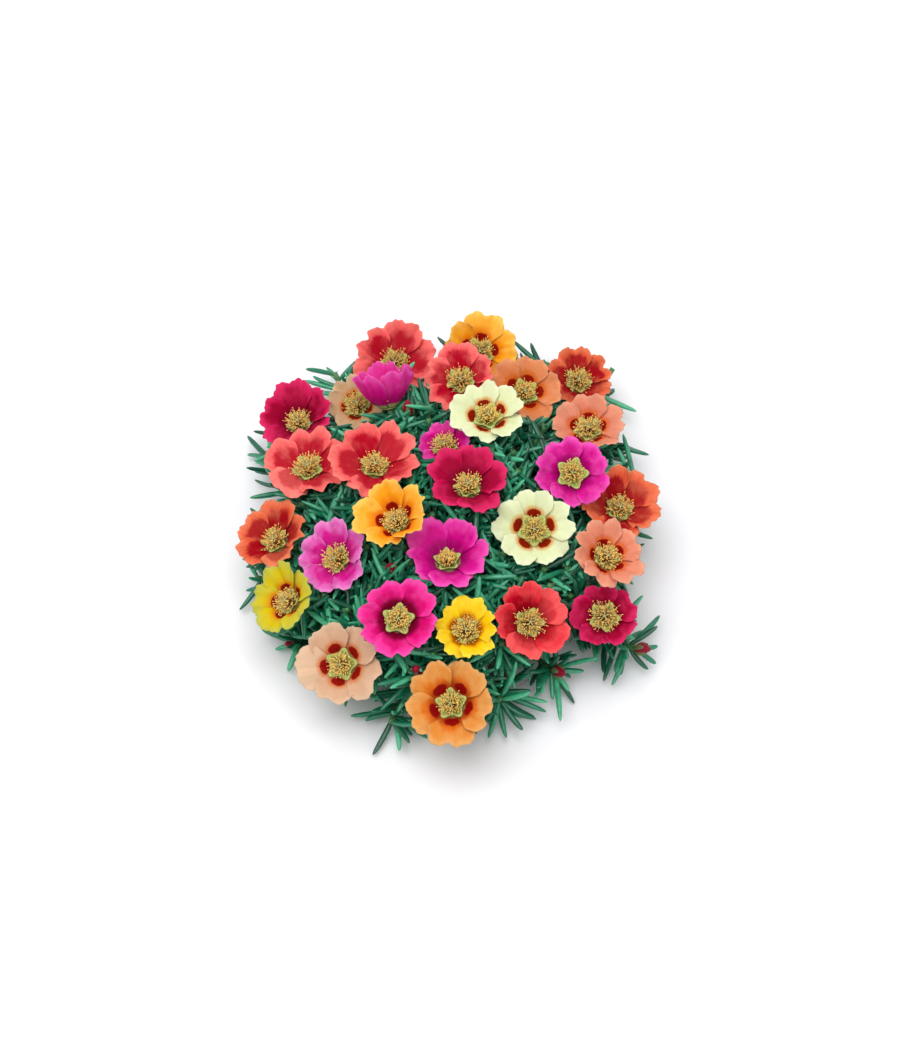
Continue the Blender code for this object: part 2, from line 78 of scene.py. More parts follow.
# Petal colours: inner, outer, rim, dark mark at the throat, share of the blotches, share of the
# dark ring, reach of the inner colour
PETAL_COLOURS = {
    "coral": ((176, 0, 34), (238, 84, 88), (250, 132, 122), (112, 0, 16), 0.0, 0.0, 0.78),
    "golden": ((236, 138, 4), (244, 160, 20), (250, 200, 100), (140, 14, 2), 1.0, 0.0, 0.60),
    "apricot": ((202, 102, 38), (214, 124, 74), (228, 158, 118), (140, 18, 4), 1.0, 0.2, 0.55),
    "flame": ((158, 0, 20), (222, 86, 50), (232, 134, 96), (104, 0, 8), 0.0, 0.0, 0.76),
    "salmon": ((206, 98, 68), (216, 126, 98), (228, 162, 134), (140, 8, 8), 1.0, 0.0, 0.55),
    "cream": ((206, 212, 136), (218, 224, 174), (232, 236, 200), (136, 24, 2), 1.0, 0.0, 0.50),
    "magenta": ((204, 0, 124), (220, 4, 142), (240, 96, 184), (120, 0, 56), 0.0, 0.3, 0.80),
    "buff": ((188, 144, 98), (200, 162, 122), (216, 186, 150), (146, 34, 10), 1.0, 0.0, 0.50),
    "crimson": ((156, 0, 48), (188, 0, 68), (222, 50, 106), (94, 0, 26), 0.0, 0.4, 0.80),
    "purple": ((200, 0, 130), (214, 0, 146), (240, 96, 184), (110, 0, 64), 0.0, 0.5, 0.82),
    "pink": ((204, 0, 132), (212, 66, 162), (232, 144, 204), (120, 0, 62), 0.0, 0.2, 0.72),
    "lemon": ((214, 168, 0), (206, 184, 12), (176, 184, 82), (128, 14, 4), 1.0, 0.2, 0.62),
    "hot_pink": ((206, 0, 104), (226, 0, 124), (244, 86, 174), (112, 0, 34), 0.0, 0.95, 0.74),
    "yellow": ((236, 174, 0), (244, 198, 4), (248, 218, 70), (150, 56, 2), 0.5, 0.3, 0.55),
    "scarlet": ((170, 0, 26), (210, 6, 42), (248, 96, 96), (84, 0, 12), 0.0, 0.3, 0.72),
    "peach": ((198, 150, 112), (208, 162, 130), (220, 186, 156), (142, 16, 8), 1.0, 0.15, 0.50),
    "orange": ((212, 104, 14), (216, 134, 54), (222, 168, 104), (136, 6, 6), 1.0, 0.6, 0.62),
}
THROAT_GREEN = (196, 204, 124)
PALE_PETALS = {"scarlet_front": (0, 3), "flame_left": (4,), "coral_left": (3,), "peach_front_left": (2,)}

PLAN_SHIFT = (0.6, -2.9, 0.0)
MOUND_LOW = 24.0
MOUND_RISE = 34.0
MOUND_HALF_WIDTH = 98.0
MOUND_HALF_DEPTH = 118.0
MOUND_BACK_SLOPE = 0.03

PETALS = 5
OPEN_ROOT = 40.0
CUPPED_ROOT = 30.0
CUPPED_RIM = 45.0
BOWL_ROOT = 38.0
BOWL_RIM = 90.0
PLATE_RADIUS = 3.8
PLATE_HALF = 0.55
PLATE_SIDES = 24
PLATE_RINGS = [
    # radius, height along the axis
    (0.2, -0.5),
    (3.0, -0.5),
    (4.1, -0.25),
    (4.1, 0.15),
    (3.4, 0.35),
    (0.2, 0.35),
]

PETAL_HALF = 0.17
PETAL_THINNING = 0.45
PETAL_VARIES = 0.10
PETAL_ACROSS = 37
PETAL_ALONG = 23
PETAL_DRAWS = 14
PETAL_SEED = 500
OVERLAP = 0.95

# Outline of the tip, as shares of the petal's length
TIP_SHOULDER = 0.30
TIP_NOTCH = 0.13
NOTCH_HALF_WIDTH = 0.10
BROAD_SCALLOP = 0.015
FINE_SCALLOP = 0.014
FRAYED_SCALLOP = 0.009
TIP_SLANT = 0.022

# Relief of a petal, mm
RUFFLE = 0.75
RIM_CRIMP = 0.70
CRIMP_BY_COLOUR = {"coral": 1.5, "flame": 1.5, "cream": 0.7, "hot_pink": 1.5, "scarlet": 1.3,
                   "yellow": 1.3, "peach": 0.6}
EDGE_CURL = 1.1
MIDDLE_CREASE = 1.2
CREASE_HALF_WIDTH = 0.06
HOLLOW = 0.9
TWIST = 1.2
RIM_BEND = 1.0
PLEAT = 0.17
SWELL = 0.7

# Markings, as shares of the petal's length and of its half width
INNER_SOFTNESS = 0.08
BLOTCH_PLACE = 0.31
BLOTCH_HALF_LENGTH = 0.14
BLOTCH_HALF_WIDTH = 0.72
THROAT_FADES = (0.11, 0.21)
RING_FADES = (0.44, 0.64)
HALO_COLOUR = (226, 110, 20)
PETAL_SHADE = 0.12


def linear(colour):
    """Display colour 0-255 as scene-linear red, green, blue and alpha."""
    c = np.array(colour) / 255.0
    c = np.where(c <= 0.04045, c / 12.92, ((c + 0.055) / 1.055) ** 2.4)
    return (*c.tolist(), 1.0)


def unit(v):
    """Vectors scaled to length one."""
    return v / np.linalg.norm(v, axis=-1, keepdims=True)


def turns(count):
    """Angles spaced evenly once round."""
    return np.linspace(0.0, 2.0 * math.pi, count, endpoint=False)


def mound(x, y):
    """Height of the mound: a paraboloid, a little higher at the back."""
    fall = (x / MOUND_HALF_WIDTH) ** 2 + (y / MOUND_HALF_DEPTH) ** 2
    return MOUND_LOW + MOUND_RISE * (1.0 - fall) + MOUND_BACK_SLOPE * y


def flower_frame(flower):
    """Seat of a flower on the mound, its axis and two directions across it, as arrays."""
    x, y, lift, right, back = flower[1:6]
    axis = np.array([right, back, math.sqrt(1.0 - right * right - back * back)])
    across = unit(np.cross([0.0, 1.0, 0.0], axis))
    return np.array([x, y, mound(x, y) + lift]), axis, across, np.cross(axis, across)


def corolla_profile(flower, t):
    """Radius, height and slope along a petal: an arc whose slope changes evenly from root to rim.

    An open flower's petals flatten toward the rim, and a cup of 1 is a bowl with an upright rim.
    """
    width, cup = flower[6], flower[7]
    low = math.radians(OPEN_ROOT + CUPPED_ROOT * cup)
    high = math.radians(CUPPED_RIM * cup)
    if cup >= 1.0:
        low = math.radians(BOWL_ROOT)
        high = math.radians(BOWL_RIM)
    bend = high - low
    length = (width / 2.0 - PLATE_RADIUS) * bend / (math.sin(high) - math.sin(low))
    radius = PLATE_RADIUS + length * (np.sin(low + bend * t) - math.sin(low)) / bend
    height = length * (math.cos(low) - np.cos(low + bend * t)) / bend
    return radius, height, low + bend * t


def outward(across, up, angle):
    """Directions square to a flower's axis: cosine of the angle across and sine of it up."""
    return across * np.cos(angle)[..., None] + up * np.sin(angle)[..., None]


def grid_faces(rows, columns, wrap=False):
    """Quads of a grid of points stored row by row; wrap joins the last column to the first."""
    r = np.arange(rows - 1)[:, None]
    c = np.arange(columns if wrap else columns - 1)[None, :]
    n = (c + 1) % columns
    quads = np.stack([r * columns + c, r * columns + n, (r + 1) * columns + n, (r + 1) * columns + c], -1)
    return quads.reshape(-1, 4)


def closed_rings(rings, ends):
    """Closed bodies from points stored as bodies x rings x sides.

    Quads join each ring to the next, and fans join the first and last rings to the end points,
    which are all the first ends and then all the last. Also gives the body of each point.
    """
    bodies, count, sides = rings.shape[:3]
    step = count * sides
    number = np.arange(bodies)
    quads = (grid_faces(count, sides, wrap=True)[None] + (number * step)[:, None, None]).reshape(-1, 4)
    a = np.arange(sides)
    b = np.roll(a, -1)
    base = (number * step)[:, None]
    top = base + step - sides
    first = bodies * step + number[:, None] + 0 * a[None]
    low = np.stack([b + base, a + base, first], -1).reshape(-1, 3)
    lid = np.stack([a + top, b + top, first + bodies], -1).reshape(-1, 3)
    owner = np.concatenate([np.repeat(number, step), number, number])
    return np.concatenate([rings.reshape(-1, 3), ends]), quads, np.concatenate([low, lid]), owner


def make(name, verts, faces, material, uv=None, tint=None):
    """Smooth mesh object from points in mm, held above the ground, and rows of three or four corners."""
    mesh = bpy.data.meshes.new(name)
    verts = np.concatenate([verts[:, :2], np.maximum(verts[:, 2:], 0.0)], 1) + np.array(PLAN_SHIFT)
    corners = np.concatenate([f.reshape(-1) for f in faces]).astype(np.int32)
    sizes = np.concatenate([np.full(len(f), f.shape[1]) for f in faces])
    starts = np.concatenate([[0], np.cumsum(sizes)[:-1]]).astype(np.int32)
    mesh.vertices.add(len(verts))
    mesh.vertices.foreach_set("co", (verts * 0.001).astype(np.float32).ravel())
    mesh.loops.add(len(corners))
    mesh.loops.foreach_set("vertex_index", corners)
    mesh.polygons.add(len(sizes))
    mesh.polygons.foreach_set("loop_start", starts)
    mesh.update(calc_edges=True)
    mesh.polygons.foreach_set("use_smooth", np.ones(len(sizes), dtype=bool))
    if uv is not None:
        layer = mesh.uv_layers.new(name="UVMap")
        layer.data.foreach_set("uv", uv[corners].astype(np.float32).ravel())
    if tint is not None:
        layer = mesh.attributes.new("tint", "FLOAT", "POINT")
        layer.data.foreach_set("value", tint.astype(np.float32))
    mesh.materials.append(material)
    mesh.validate()
    obj = bpy.data.objects.new(name, mesh)
    bpy.context.scene.collection.objects.link(obj)
    return obj


def add_node(tree, kind, inputs=(), out=0, **settings):
    """Node with its settings and inputs filled; sockets are linked, values are set."""
    made = tree.nodes.new(kind)
    for key, value in settings.items():
        setattr(made, key, value)
    for key, value in dict(inputs).items():
        if isinstance(value, bpy.types.NodeSocket):
            tree.links.new(value, made.inputs[key])
        else:
            made.inputs[key].default_value = value
    return made.outputs[out]


def math_node(tree, operation, a, b=0.0, c=0.0):
    """One arithmetic step."""
    return add_node(tree, "ShaderNodeMath", {0: a, 1: b, 2: c}, operation=operation)


def smooth_step(tree, value, low, high, start=0.0, end=1.0):
    """Soft ramp of a value from start to end."""
    inputs = {"Value": value, "From Min": low, "From Max": high, "To Min": start, "To Max": end}
    return add_node(tree, "ShaderNodeMapRange", inputs, interpolation_type="SMOOTHSTEP")


def mix_colour(tree, factor, a, b):
    """Blend of two colours."""
    return add_node(tree, "ShaderNodeMix", {0: factor, 6: a, 7: b}, out=2, data_type="RGBA")


def layers(tree, colour, over):
    """Colour with further colours laid over it, each through its own mask."""
    for mask, paint in over:
        colour = mix_colour(tree, mask, colour, linear(paint))
    return colour


def uv_parts(tree):
    """The two coordinates of the piece's own UV map."""
    parts = tree.nodes.new("ShaderNodeSeparateXYZ")
    tree.links.new(tree.nodes.new("ShaderNodeUVMap").outputs[0], parts.inputs[0])
    return parts.outputs[0], parts.outputs[1]


def tint_of(tree):
    """The piece's own tint, a number at each point."""
    return add_node(tree, "ShaderNodeAttribute", out=2, attribute_name="tint")


def new_material(name, values):
    """Principled material with values on its own sockets; gives it, its node tree and its shader."""
    material = bpy.data.materials.new(name)
    material.use_nodes = True
    shader = material.node_tree.nodes["Principled BSDF"]
    for key, value in values.items():
        shader.inputs[key].default_value = value
    return material, material.node_tree, shader


def petal_marking_group():
    """Masks on a petal from its own width (u) and length (v).

    Each mask is a soft step of v or of the distance from the petal's middle, made uneven by
    noise that is stretched along the petal as veins, and by broader clouds.
    """
    group = bpy.data.node_groups.new("petal_markings", "ShaderNodeTree")
    face = group.interface
    face.new_socket("Inner reach", in_out="INPUT", socket_type="NodeSocketFloat")
    for name in ("Inner", "Rim", "Blotch", "Halo", "Throat", "Veins", "Light", "Ring"):
        face.new_socket(name, in_out="OUTPUT", socket_type="NodeSocketFloat")
    given = group.nodes.new("NodeGroupInput").outputs[0]
    result = group.nodes.new("NodeGroupOutput")
    petal_u, v = uv_parts(group)

    def calc(operation, a, b=0.0, c=0.0):
        """One arithmetic step in the group."""
        return math_node(group, operation, a, b, c)

    def noise(across, along, detail, roughness):
        """Noise over the petal, as many times finer across and along it."""
        place = add_node(group, "ShaderNodeCombineXYZ", {
            0: calc("MULTIPLY", petal_u, across), 1: calc("MULTIPLY", v, along)})
        inputs = {"Vector": place, "Scale": 1.0, "Detail": detail, "Roughness": roughness}
        return add_node(group, "ShaderNodeTexNoise", inputs)

    side = calc("ABSOLUTE", calc("MULTIPLY_ADD", calc("FRACT", petal_u), 2.0, -1.0))
    veins = noise(34.0, 2.2, 3.0, 0.6)
    clouds = noise(3.0, 2.4, 2.0, 0.5)
    jitter = calc("MULTIPLY_ADD", veins, 0.26, calc("MULTIPLY", clouds, 0.22))
    reach = calc("ADD", calc("SUBTRACT", v, 0.24), jitter)
    reach = calc("MULTIPLY_ADD", calc("POWER", side, 2.2), 0.28, reach)
    near = calc("SUBTRACT", given, INNER_SOFTNESS)
    far = calc("ADD", given, INNER_SOFTNESS)
    inner = smooth_step(group, reach, near, far, 1.0, 0.0)
    edge = calc("MULTIPLY_ADD", side, 0.07, calc("MULTIPLY_ADD", jitter, 0.2, v))
    rim = smooth_step(group, edge, 0.86, 1.10)
    long_part = calc("DIVIDE", calc("SUBTRACT", v, BLOTCH_PLACE), BLOTCH_HALF_LENGTH)
    wide_part = calc("DIVIDE", side, BLOTCH_HALF_WIDTH)
    squares = calc("ADD", calc("MULTIPLY", long_part, long_part), calc("MULTIPLY", wide_part, wide_part))
    spread = calc("MULTIPLY_ADD", veins, 0.5, calc("SUBTRACT", calc("SQRT", squares), 0.25))
    blotch = smooth_step(group, spread, 0.72, 1.0, 1.0, 0.0)
    halo = smooth_step(group, spread, 0.95, 1.75, 1.0, 0.0)
    throat = smooth_step(group, v, *THROAT_FADES, 1.0, 0.0)
    light = smooth_step(group, calc("MULTIPLY_ADD", v, 0.40, clouds), 0.62, 1.05)
    ring = smooth_step(group, calc("MULTIPLY_ADD", veins, 0.20, v), *RING_FADES, 1.0, 0.0)
    for k, socket in enumerate((inner, rim, blotch, halo, throat, veins, light, ring)):
        group.links.new(socket, result.inputs[k])
    return group


PETAL_MARKINGS = petal_marking_group()


def petal_material(kind):
    """Thin satin petal: inner, outer and rim colours, a blotch with its halo, a green throat, and darker
    veins that are partly the petal's own veining and partly painted shade.
    """
    inner, outer, rim, dark, blotch_share, ring_share, reach = PETAL_COLOURS[kind]
    material, tree, shader = new_material("petal_" + kind, {
        "Roughness": 0.55,
        "Specular IOR Level": 0.06,
        "Subsurface Weight": 0.08,
        "Subsurface Radius": (1.0, 0.5, 0.3),
        "Subsurface Scale": 0.0015,
    })
    marks = tree.nodes.new("ShaderNodeGroup")
    marks.node_tree = PETAL_MARKINGS
    marks.inputs["Inner reach"].default_value = reach
    out = marks.outputs

    def share(name, amount):
        """Part of a mask."""
        return math_node(tree, "MULTIPLY", out[name], amount)

    outside = math_node(tree, "MULTIPLY_ADD", out["Inner"], -0.5, 0.8)
    pale = math_node(tree, "MULTIPLY", tint_of(tree), outside)
    colour = layers(tree, linear(outer), [
        (out["Inner"], inner),
        (share("Rim", 0.85), rim),
        (share("Light", 0.45), rim),
        (pale, rim),
        # Vein streaks darkened toward the inner colour: partly the petal's own veining, partly painted
        # shade of its fine folds
        (smooth_step(tree, out["Veins"], 0.42, 0.75, 0.0, 0.30), inner),
        (share("Halo", 0.55 * blotch_share), HALO_COLOUR),
        (share("Ring", ring_share), dark),
        (share("Blotch", blotch_share), dark),
        (share("Throat", 0.9), THROAT_GREEN),
    ])
    tree.links.new(colour, shader.inputs["Base Color"])
    bump = add_node(tree, "ShaderNodeBump", {"Strength": 0.5, "Distance": 0.0005, "Height": out["Veins"]})
    tree.links.new(bump, shader.inputs["Normal"])
    return material


def petal_surface(flower, petal, draw):
    """Middle surface of a petal as a grid, tip rows last.

    The angle runs over a share of the petal's sector that widens and narrows with t. The
    radius and height follow the profile, shortened at the shoulders, the notch and the
    scallops. The lift off that profile adds one edge raised and the other lowered, slow waves
    round the flower, crimps that grow toward the rim, curled edges, a crease along the
    middle, pleats, a twist and a bend.
    """
    s = np.linspace(-0.5, 0.5, PETAL_ACROSS)[None, :]
    t = np.linspace(0.0, 1.0, PETAL_ALONG)[:, None] ** 0.85
    nick = np.clip(draw.normal(0.0, 1.0, PETAL_DRAWS), -1.6, 1.6)
    sector = 2.0 * math.pi / PETALS
    share = 0.82 + 1.05 * t - 0.71 * t ** 2
    angle = math.radians(flower[8]) + petal * sector + s * sector * share
    tip = BROAD_SCALLOP * np.sin((17.0 + 4.0 * nick[9]) * s + 3.0 * nick[0])
    tip = tip + FINE_SCALLOP * np.sin((40.0 + 7.0 * nick[8]) * s + 3.0 * nick[1])
    tip = tip + FRAYED_SCALLOP * np.sin(62.0 * s + 3.0 * nick[2]) + TIP_SLANT * (nick[5] * s + nick[4])
    notch = np.exp(-np.abs((s - 0.04 * nick[3]) / NOTCH_HALF_WIDTH) ** 1.6)
    tip = tip + 1.0 - TIP_SHOULDER * np.abs(2.0 * s) ** 3.2 - TIP_NOTCH * (1.0 + 0.35 * nick[2]) * notch
    turn = 2.3 * petal + flower[1] * 0.53 + flower[2] * 0.29
    longest = 1.0 - PETAL_VARIES * (0.5 + 0.5 * math.sin(turn))
    radius, height, slope = corolla_profile(flower, t * (1.0 - (1.0 - tip * longest) * t ** 1.5))
    seed = flower[1] * 0.37 + flower[2] * 0.11
    wave = 1.3 * np.sin(2.0 * angle + 1.3 * seed) + np.sin(5.0 * angle + seed)
    wave = wave + 0.6 * np.sin(11.0 * angle + 1.7 * seed)
    crimp = np.sin(19.0 * s + 2.0 * nick[6]) * t ** 4 + 0.5 * np.sin(41.0 * s + 2.0 * nick[7]) * t ** 7
    lift = -2.0 * s * OVERLAP * (1.0 - (1.0 - t) ** 2) + RUFFLE * wave * t * t
    lift = lift + RIM_CRIMP * CRIMP_BY_COLOUR.get(flower[9], 1.0) * crimp
    lift = lift - EDGE_CURL * (0.6 + 0.3 * nick[8]) * (2.0 * s) ** 4 * t ** 3
    lift = lift + SWELL * nick[9] * (t - 0.5) ** 2 * t ** 2
    lift = lift - MIDDLE_CREASE * np.exp(-((s / CREASE_HALF_WIDTH) ** 2)) * t * (1.25 - t)
    lift = lift + HOLLOW * (2.0 * s) ** 2 * t * (1.0 - t)
    lift = lift + TWIST * nick[10] * s * t ** 2 + RIM_BEND * nick[11] * t ** 4
    lift = lift + PLEAT * np.sin((30.0 + 5.0 * nick[6]) * s + 3.0 * nick[7]) * t * (1.2 - 0.6 * t)
    lift = lift + SWELL * nick[12] * np.sin(8.0 * s + 2.0 * nick[13]) * t ** 2
    radius = radius - lift * np.sin(slope)
    height = height + lift * np.cos(slope)
    seat, axis, across, up = flower_frame(flower)
    points = seat + outward(across, up, angle) * radius[..., None] + axis * height[..., None]
    return points, np.stack([s + 0.5 + 0.0 * t, t + 0.0 * s], -1)


def shell(points, half):
    """Closed thin shell round a surface grid: the grid moved both ways along its normals, and a rim."""
    rows, columns = points.shape[:2]
    normal = unit(np.cross(np.gradient(points, axis=1), np.gradient(points, axis=0)))
    upper = points + normal * half[..., None]
    lower = points - normal * half[..., None]
    count = rows * columns
    top = grid_faces(rows, columns)
    index = np.arange(count).reshape(rows, columns)
    loop = np.concatenate([index[0, :], index[1:, -1], index[-1, -2::-1], index[-2:0:-1, 0]])
    after = np.roll(loop, -1)
    rim = np.stack([loop, loop + count, after + count, after], -1)
    verts = np.concatenate([upper.reshape(-1, 3), lower.reshape(-1, 3)])
    return verts, np.concatenate([top, top[:, ::-1] + count, rim])


def plate(flower):
    """Small disc that the petals grow from: rings round the flower's axis, from below to above."""
    seat, axis, across, up = flower_frame(flower)
    out = outward(across, up, turns(PLATE_SIDES))
    rings = np.array([seat + out * radius + axis * height for radius, height in PLATE_RINGS])
    ends = np.stack([seat + axis * PLATE_RINGS[0][1], seat + axis * PLATE_RINGS[-1][1]])
    return closed_rings(rings[None], ends)


petal_materials = {}
for number, flower in enumerate(FLOWERS):
    draw = np.random.default_rng(PETAL_SEED + number)
    name, kind = flower[0], flower[9]
    if kind not in petal_materials:
        petal_materials[kind] = petal_material(kind)
    verts, faces, uvs, tints, count = [], [], [], [], 0
    for petal in range(PETALS):
        points, uv = petal_surface(flower, petal, draw)
        petal_verts, petal_faces = shell(points, PETAL_HALF * (1.0 - PETAL_THINNING * uv[..., 1]))
        verts.append(petal_verts)
        faces.append(petal_faces + count)
        flat = uv.reshape(-1, 2) + np.array([petal + 7.0 * number, 0.0])
        uvs += [flat, flat]
        shade = PETAL_SHADE * (1.0 + math.sin(4.1 * number + 2.9 * petal))
        if petal in PALE_PETALS.get(name, ()):
            shade = 1.0
        tints.append(np.full(len(petal_verts), shade))
        count += len(petal_verts)
    plate_verts, quads, tris, owner = plate(flower)
    verts.append(plate_verts)
    faces.append(quads + count)
    uvs.append(np.tile([[0.5, 0.02]], (len(plate_verts), 1)))
    tints.append(np.zeros(len(plate_verts)))
    faces = [np.concatenate(faces), tris + count]
    piece = make("corolla_%02d" % (number + 1), np.concatenate(verts), faces, petal_materials[kind],
                 np.concatenate(uvs), np.concatenate(tints))
    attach(piece, "root")
    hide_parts("bloom_%02d_%s_petals" % (number + 1, name))

# Star cups
# A pale green five-pointed cup stands in each flower's throat round the stamens. It is thin,
# fleshy tissue joined to the petals' roots.

STAR_RADIUS = 8.7
STAR_HEIGHT = 5.4
STAR_NOTCH = 2.6
STAR_POINT_RISE = 1.6
STAR_CLEARANCE = 1.4
STAR_SIDES = 60
CUP_BASE = 2.3
CUP_WALL = 0.6
CUP_FOOT = 0.7
CUP_FLOOR = 1.2
CUP_INSIDE = 1.25
CUP_DROP = 0.95
OUTER_WALL = (0.0, 0.25, 0.5, 0.75, 0.92, 1.0)
INNER_WALL = (0.97, 0.8, 0.6, 0.4, 0.2, 0.05)
STAR_RIBS = 25.0


def star_material():
    """Yellow-green tissue, paler toward the points, with soft ribs up the wall."""
    material, tree, shader = new_material("star_cup", {
        "Roughness": 0.5,
        "Specular IOR Level": 0.15,
        "Subsurface Weight": 0.1,
        "Subsurface Scale": 0.001,
    })
    round_share, up_share = uv_parts(tree)
    ribs = math_node(tree, "SINE", math_node(tree, "MULTIPLY", round_share, 2.0 * math.pi * STAR_RIBS))
    colour = layers(tree, linear((124, 148, 56)), [
        (smooth_step(tree, up_share, 0.2, 0.95), (182, 196, 116)),
        (smooth_step(tree, ribs, 0.2, 1.0, 0.0, 0.22), (146, 166, 88)),
    ])
    tree.links.new(colour, shader.inputs["Base Color"])
    return material


def petal_height(flower, radius):
    """Height of the petals at a distance from the axis, by interpolation of the profile."""
    t = np.linspace(0.0, 1.0, 60)
    r, h, _ = corolla_profile(flower, t)
    return np.interp(radius, r, h)


def star_radius(flower):
    """Radius of the star's points, as wide as the rising petals leave room for."""
    star = STAR_RADIUS
    while star > CUP_BASE + 1.0 and petal_height(flower, star) > STAR_HEIGHT - STAR_CLEARANCE:
        star -= 0.1
    return star


def star_cup(flower):
    """Closed cup: the outer wall runs from a ring out to the star-shaped rim, the inner wall back down.

    The rim's radius and height swing five times round, by a power of a raised cosine.
    """
    turn = turns(STAR_SIDES)
    lobe = (0.5 + 0.5 * np.cos(5.0 * turn)) ** 1.3
    wide = star_radius(flower) - STAR_NOTCH + STAR_NOTCH * lobe - CUP_BASE
    rise = STAR_HEIGHT - STAR_POINT_RISE + STAR_POINT_RISE * lobe
    rows = [(CUP_BASE + wide * q ** 0.9, CUP_FOOT + (rise - CUP_FOOT) * q ** 1.25) for q in OUTER_WALL]
    within = CUP_BASE - CUP_WALL
    rows += [(within + wide * q ** 0.9, CUP_INSIDE + (rise - CUP_DROP) * q ** 1.25) for q in INNER_WALL]
    seat, axis, across, up = flower_frame(flower)
    out = outward(across, up, turn + math.radians(flower[8] + 180.0 / PETALS))
    rings = [seat + out * r[:, None] + axis * h[:, None] for r, h in rows]
    up_share = np.repeat(OUTER_WALL + INNER_WALL, STAR_SIDES)
    uv = np.stack([np.tile(turn / (2.0 * math.pi), len(rows)), up_share], -1)
    ends = np.stack([seat + axis * CUP_FOOT, seat + axis * CUP_FLOOR])
    verts, quads, tris, owner = closed_rings(np.array(rings)[None], ends)
    return verts, quads, tris, np.concatenate([uv, np.zeros((2, 2))])


STAR_MATERIAL = star_material()
for number, flower in enumerate(FLOWERS):
    verts, quads, tris, uv = star_cup(flower)
    piece = make("star_cup_%02d" % (number + 1), verts, [quads, tris], STAR_MATERIAL, uv)
    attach(piece, "root")
    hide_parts("bloom_%02d_%s_centre" % (number + 1, flower[0]))

# Stamens and styles
# Each star cup holds a brush of thin red-brown filaments, each with a yellow anther full of
# pollen, round a pale style that splits into five curled arms.

STAMENS = 170
STAMEN_SEED = 900
STAMEN_TURN = math.radians(137.508)
FILAMENT_RADIUS = 0.11
FILAMENT_SIDES = 3
FILAMENT_FOOT = 1.1
BRUSH_FOOT = 1.7
BRUSH_HEIGHT = 8.3
BRUSH_DROP = 1.9
ANTHER_LENGTH = 0.52
ANTHER_RADIUS = 0.25
ANTHER_SIDES = 4
STYLE_ARMS = 5
STYLE_SIDES = 6
STYLE_RINGS = 7
STYLE_TOP = 6.6
STYLE_RADIUS = 0.3
ARM_RADIUS = 0.26
ARM_THINS = 0.10
ARM_FOOT = 6.4
ARM_REACH = 2.1
ARM_RISE = 2.3
ARM_CURL = 1.3
# Width of the star's rim left clear of the brush, mm
STAR_SHOWN = {"purple": 2.4, "hot_pink": 2.0, "cream": 1.8, "orange": 1.9, "peach": 1.9, "apricot": 1.7}
STAR_COVERED = -0.2


def plain_material(name, colour, roughness, deep=None, subsurface=0.0):
    """One colour, mottled toward a deeper one by the piece's own tint."""
    material, tree, shader = new_material(name, {
        "Base Color": linear(colour),
        "Roughness": roughness,
        "Specular IOR Level": 0.2,
        "Subsurface Weight": subsurface,
        "Subsurface Scale": 0.001,
    })
    if deep:
        tree.links.new(layers(tree, linear(deep), [(tint_of(tree), colour)]), shader.inputs["Base Color"])
    return material


def sweep(paths, radii, sides):
    """Many tubes at once. paths is tubes x rings x 3 and radii is tubes x rings; both ends are closed.

    Each ring is a circle square to the path, measured from one direction kept along the tube.
    """
    ahead = unit(np.gradient(paths, axis=1))
    chord = paths[:, -1] - paths[:, 0]
    upright = np.abs(chord[:, 2:3]) > 0.9 * np.linalg.norm(chord, axis=1, keepdims=True)
    side = unit(np.cross(np.where(upright, [[1.0, 0.0, 0.0]], [[0.0, 0.0, 1.0]]), chord))[:, None]
    side = unit(side - ahead * (side * ahead).sum(-1, keepdims=True))
    over = np.cross(ahead, side)
    turn = turns(sides)[None, None, :, None]
    ring = side[:, :, None] * np.cos(turn) + over[:, :, None] * np.sin(turn)
    rings = paths[:, :, None] + ring * radii[:, :, None, None]
    return closed_rings(rings, np.concatenate([paths[:, 0], paths[:, -1]]))


def beads(points, directions, length, radius):
    """Small closed grains: four rings of four along their own direction, with a tip at each end."""
    q = np.array([-0.97, -0.45, 0.45, 0.97])
    paths = points[:, None] + directions[:, None] * (q * length)[None, :, None]
    radii = np.tile(np.sqrt(1.0 - q * q) * radius, (len(points), 1))
    return sweep(paths, radii, ANTHER_SIDES)


FILAMENT = plain_material("filament", (252, 226, 150), 0.5, (158, 40, 30))
ANTHER = plain_material("anther", (255, 232, 138), 0.7, (248, 196, 78))
STYLE = plain_material("style", (206, 206, 140), 0.5, subsurface=0.1)

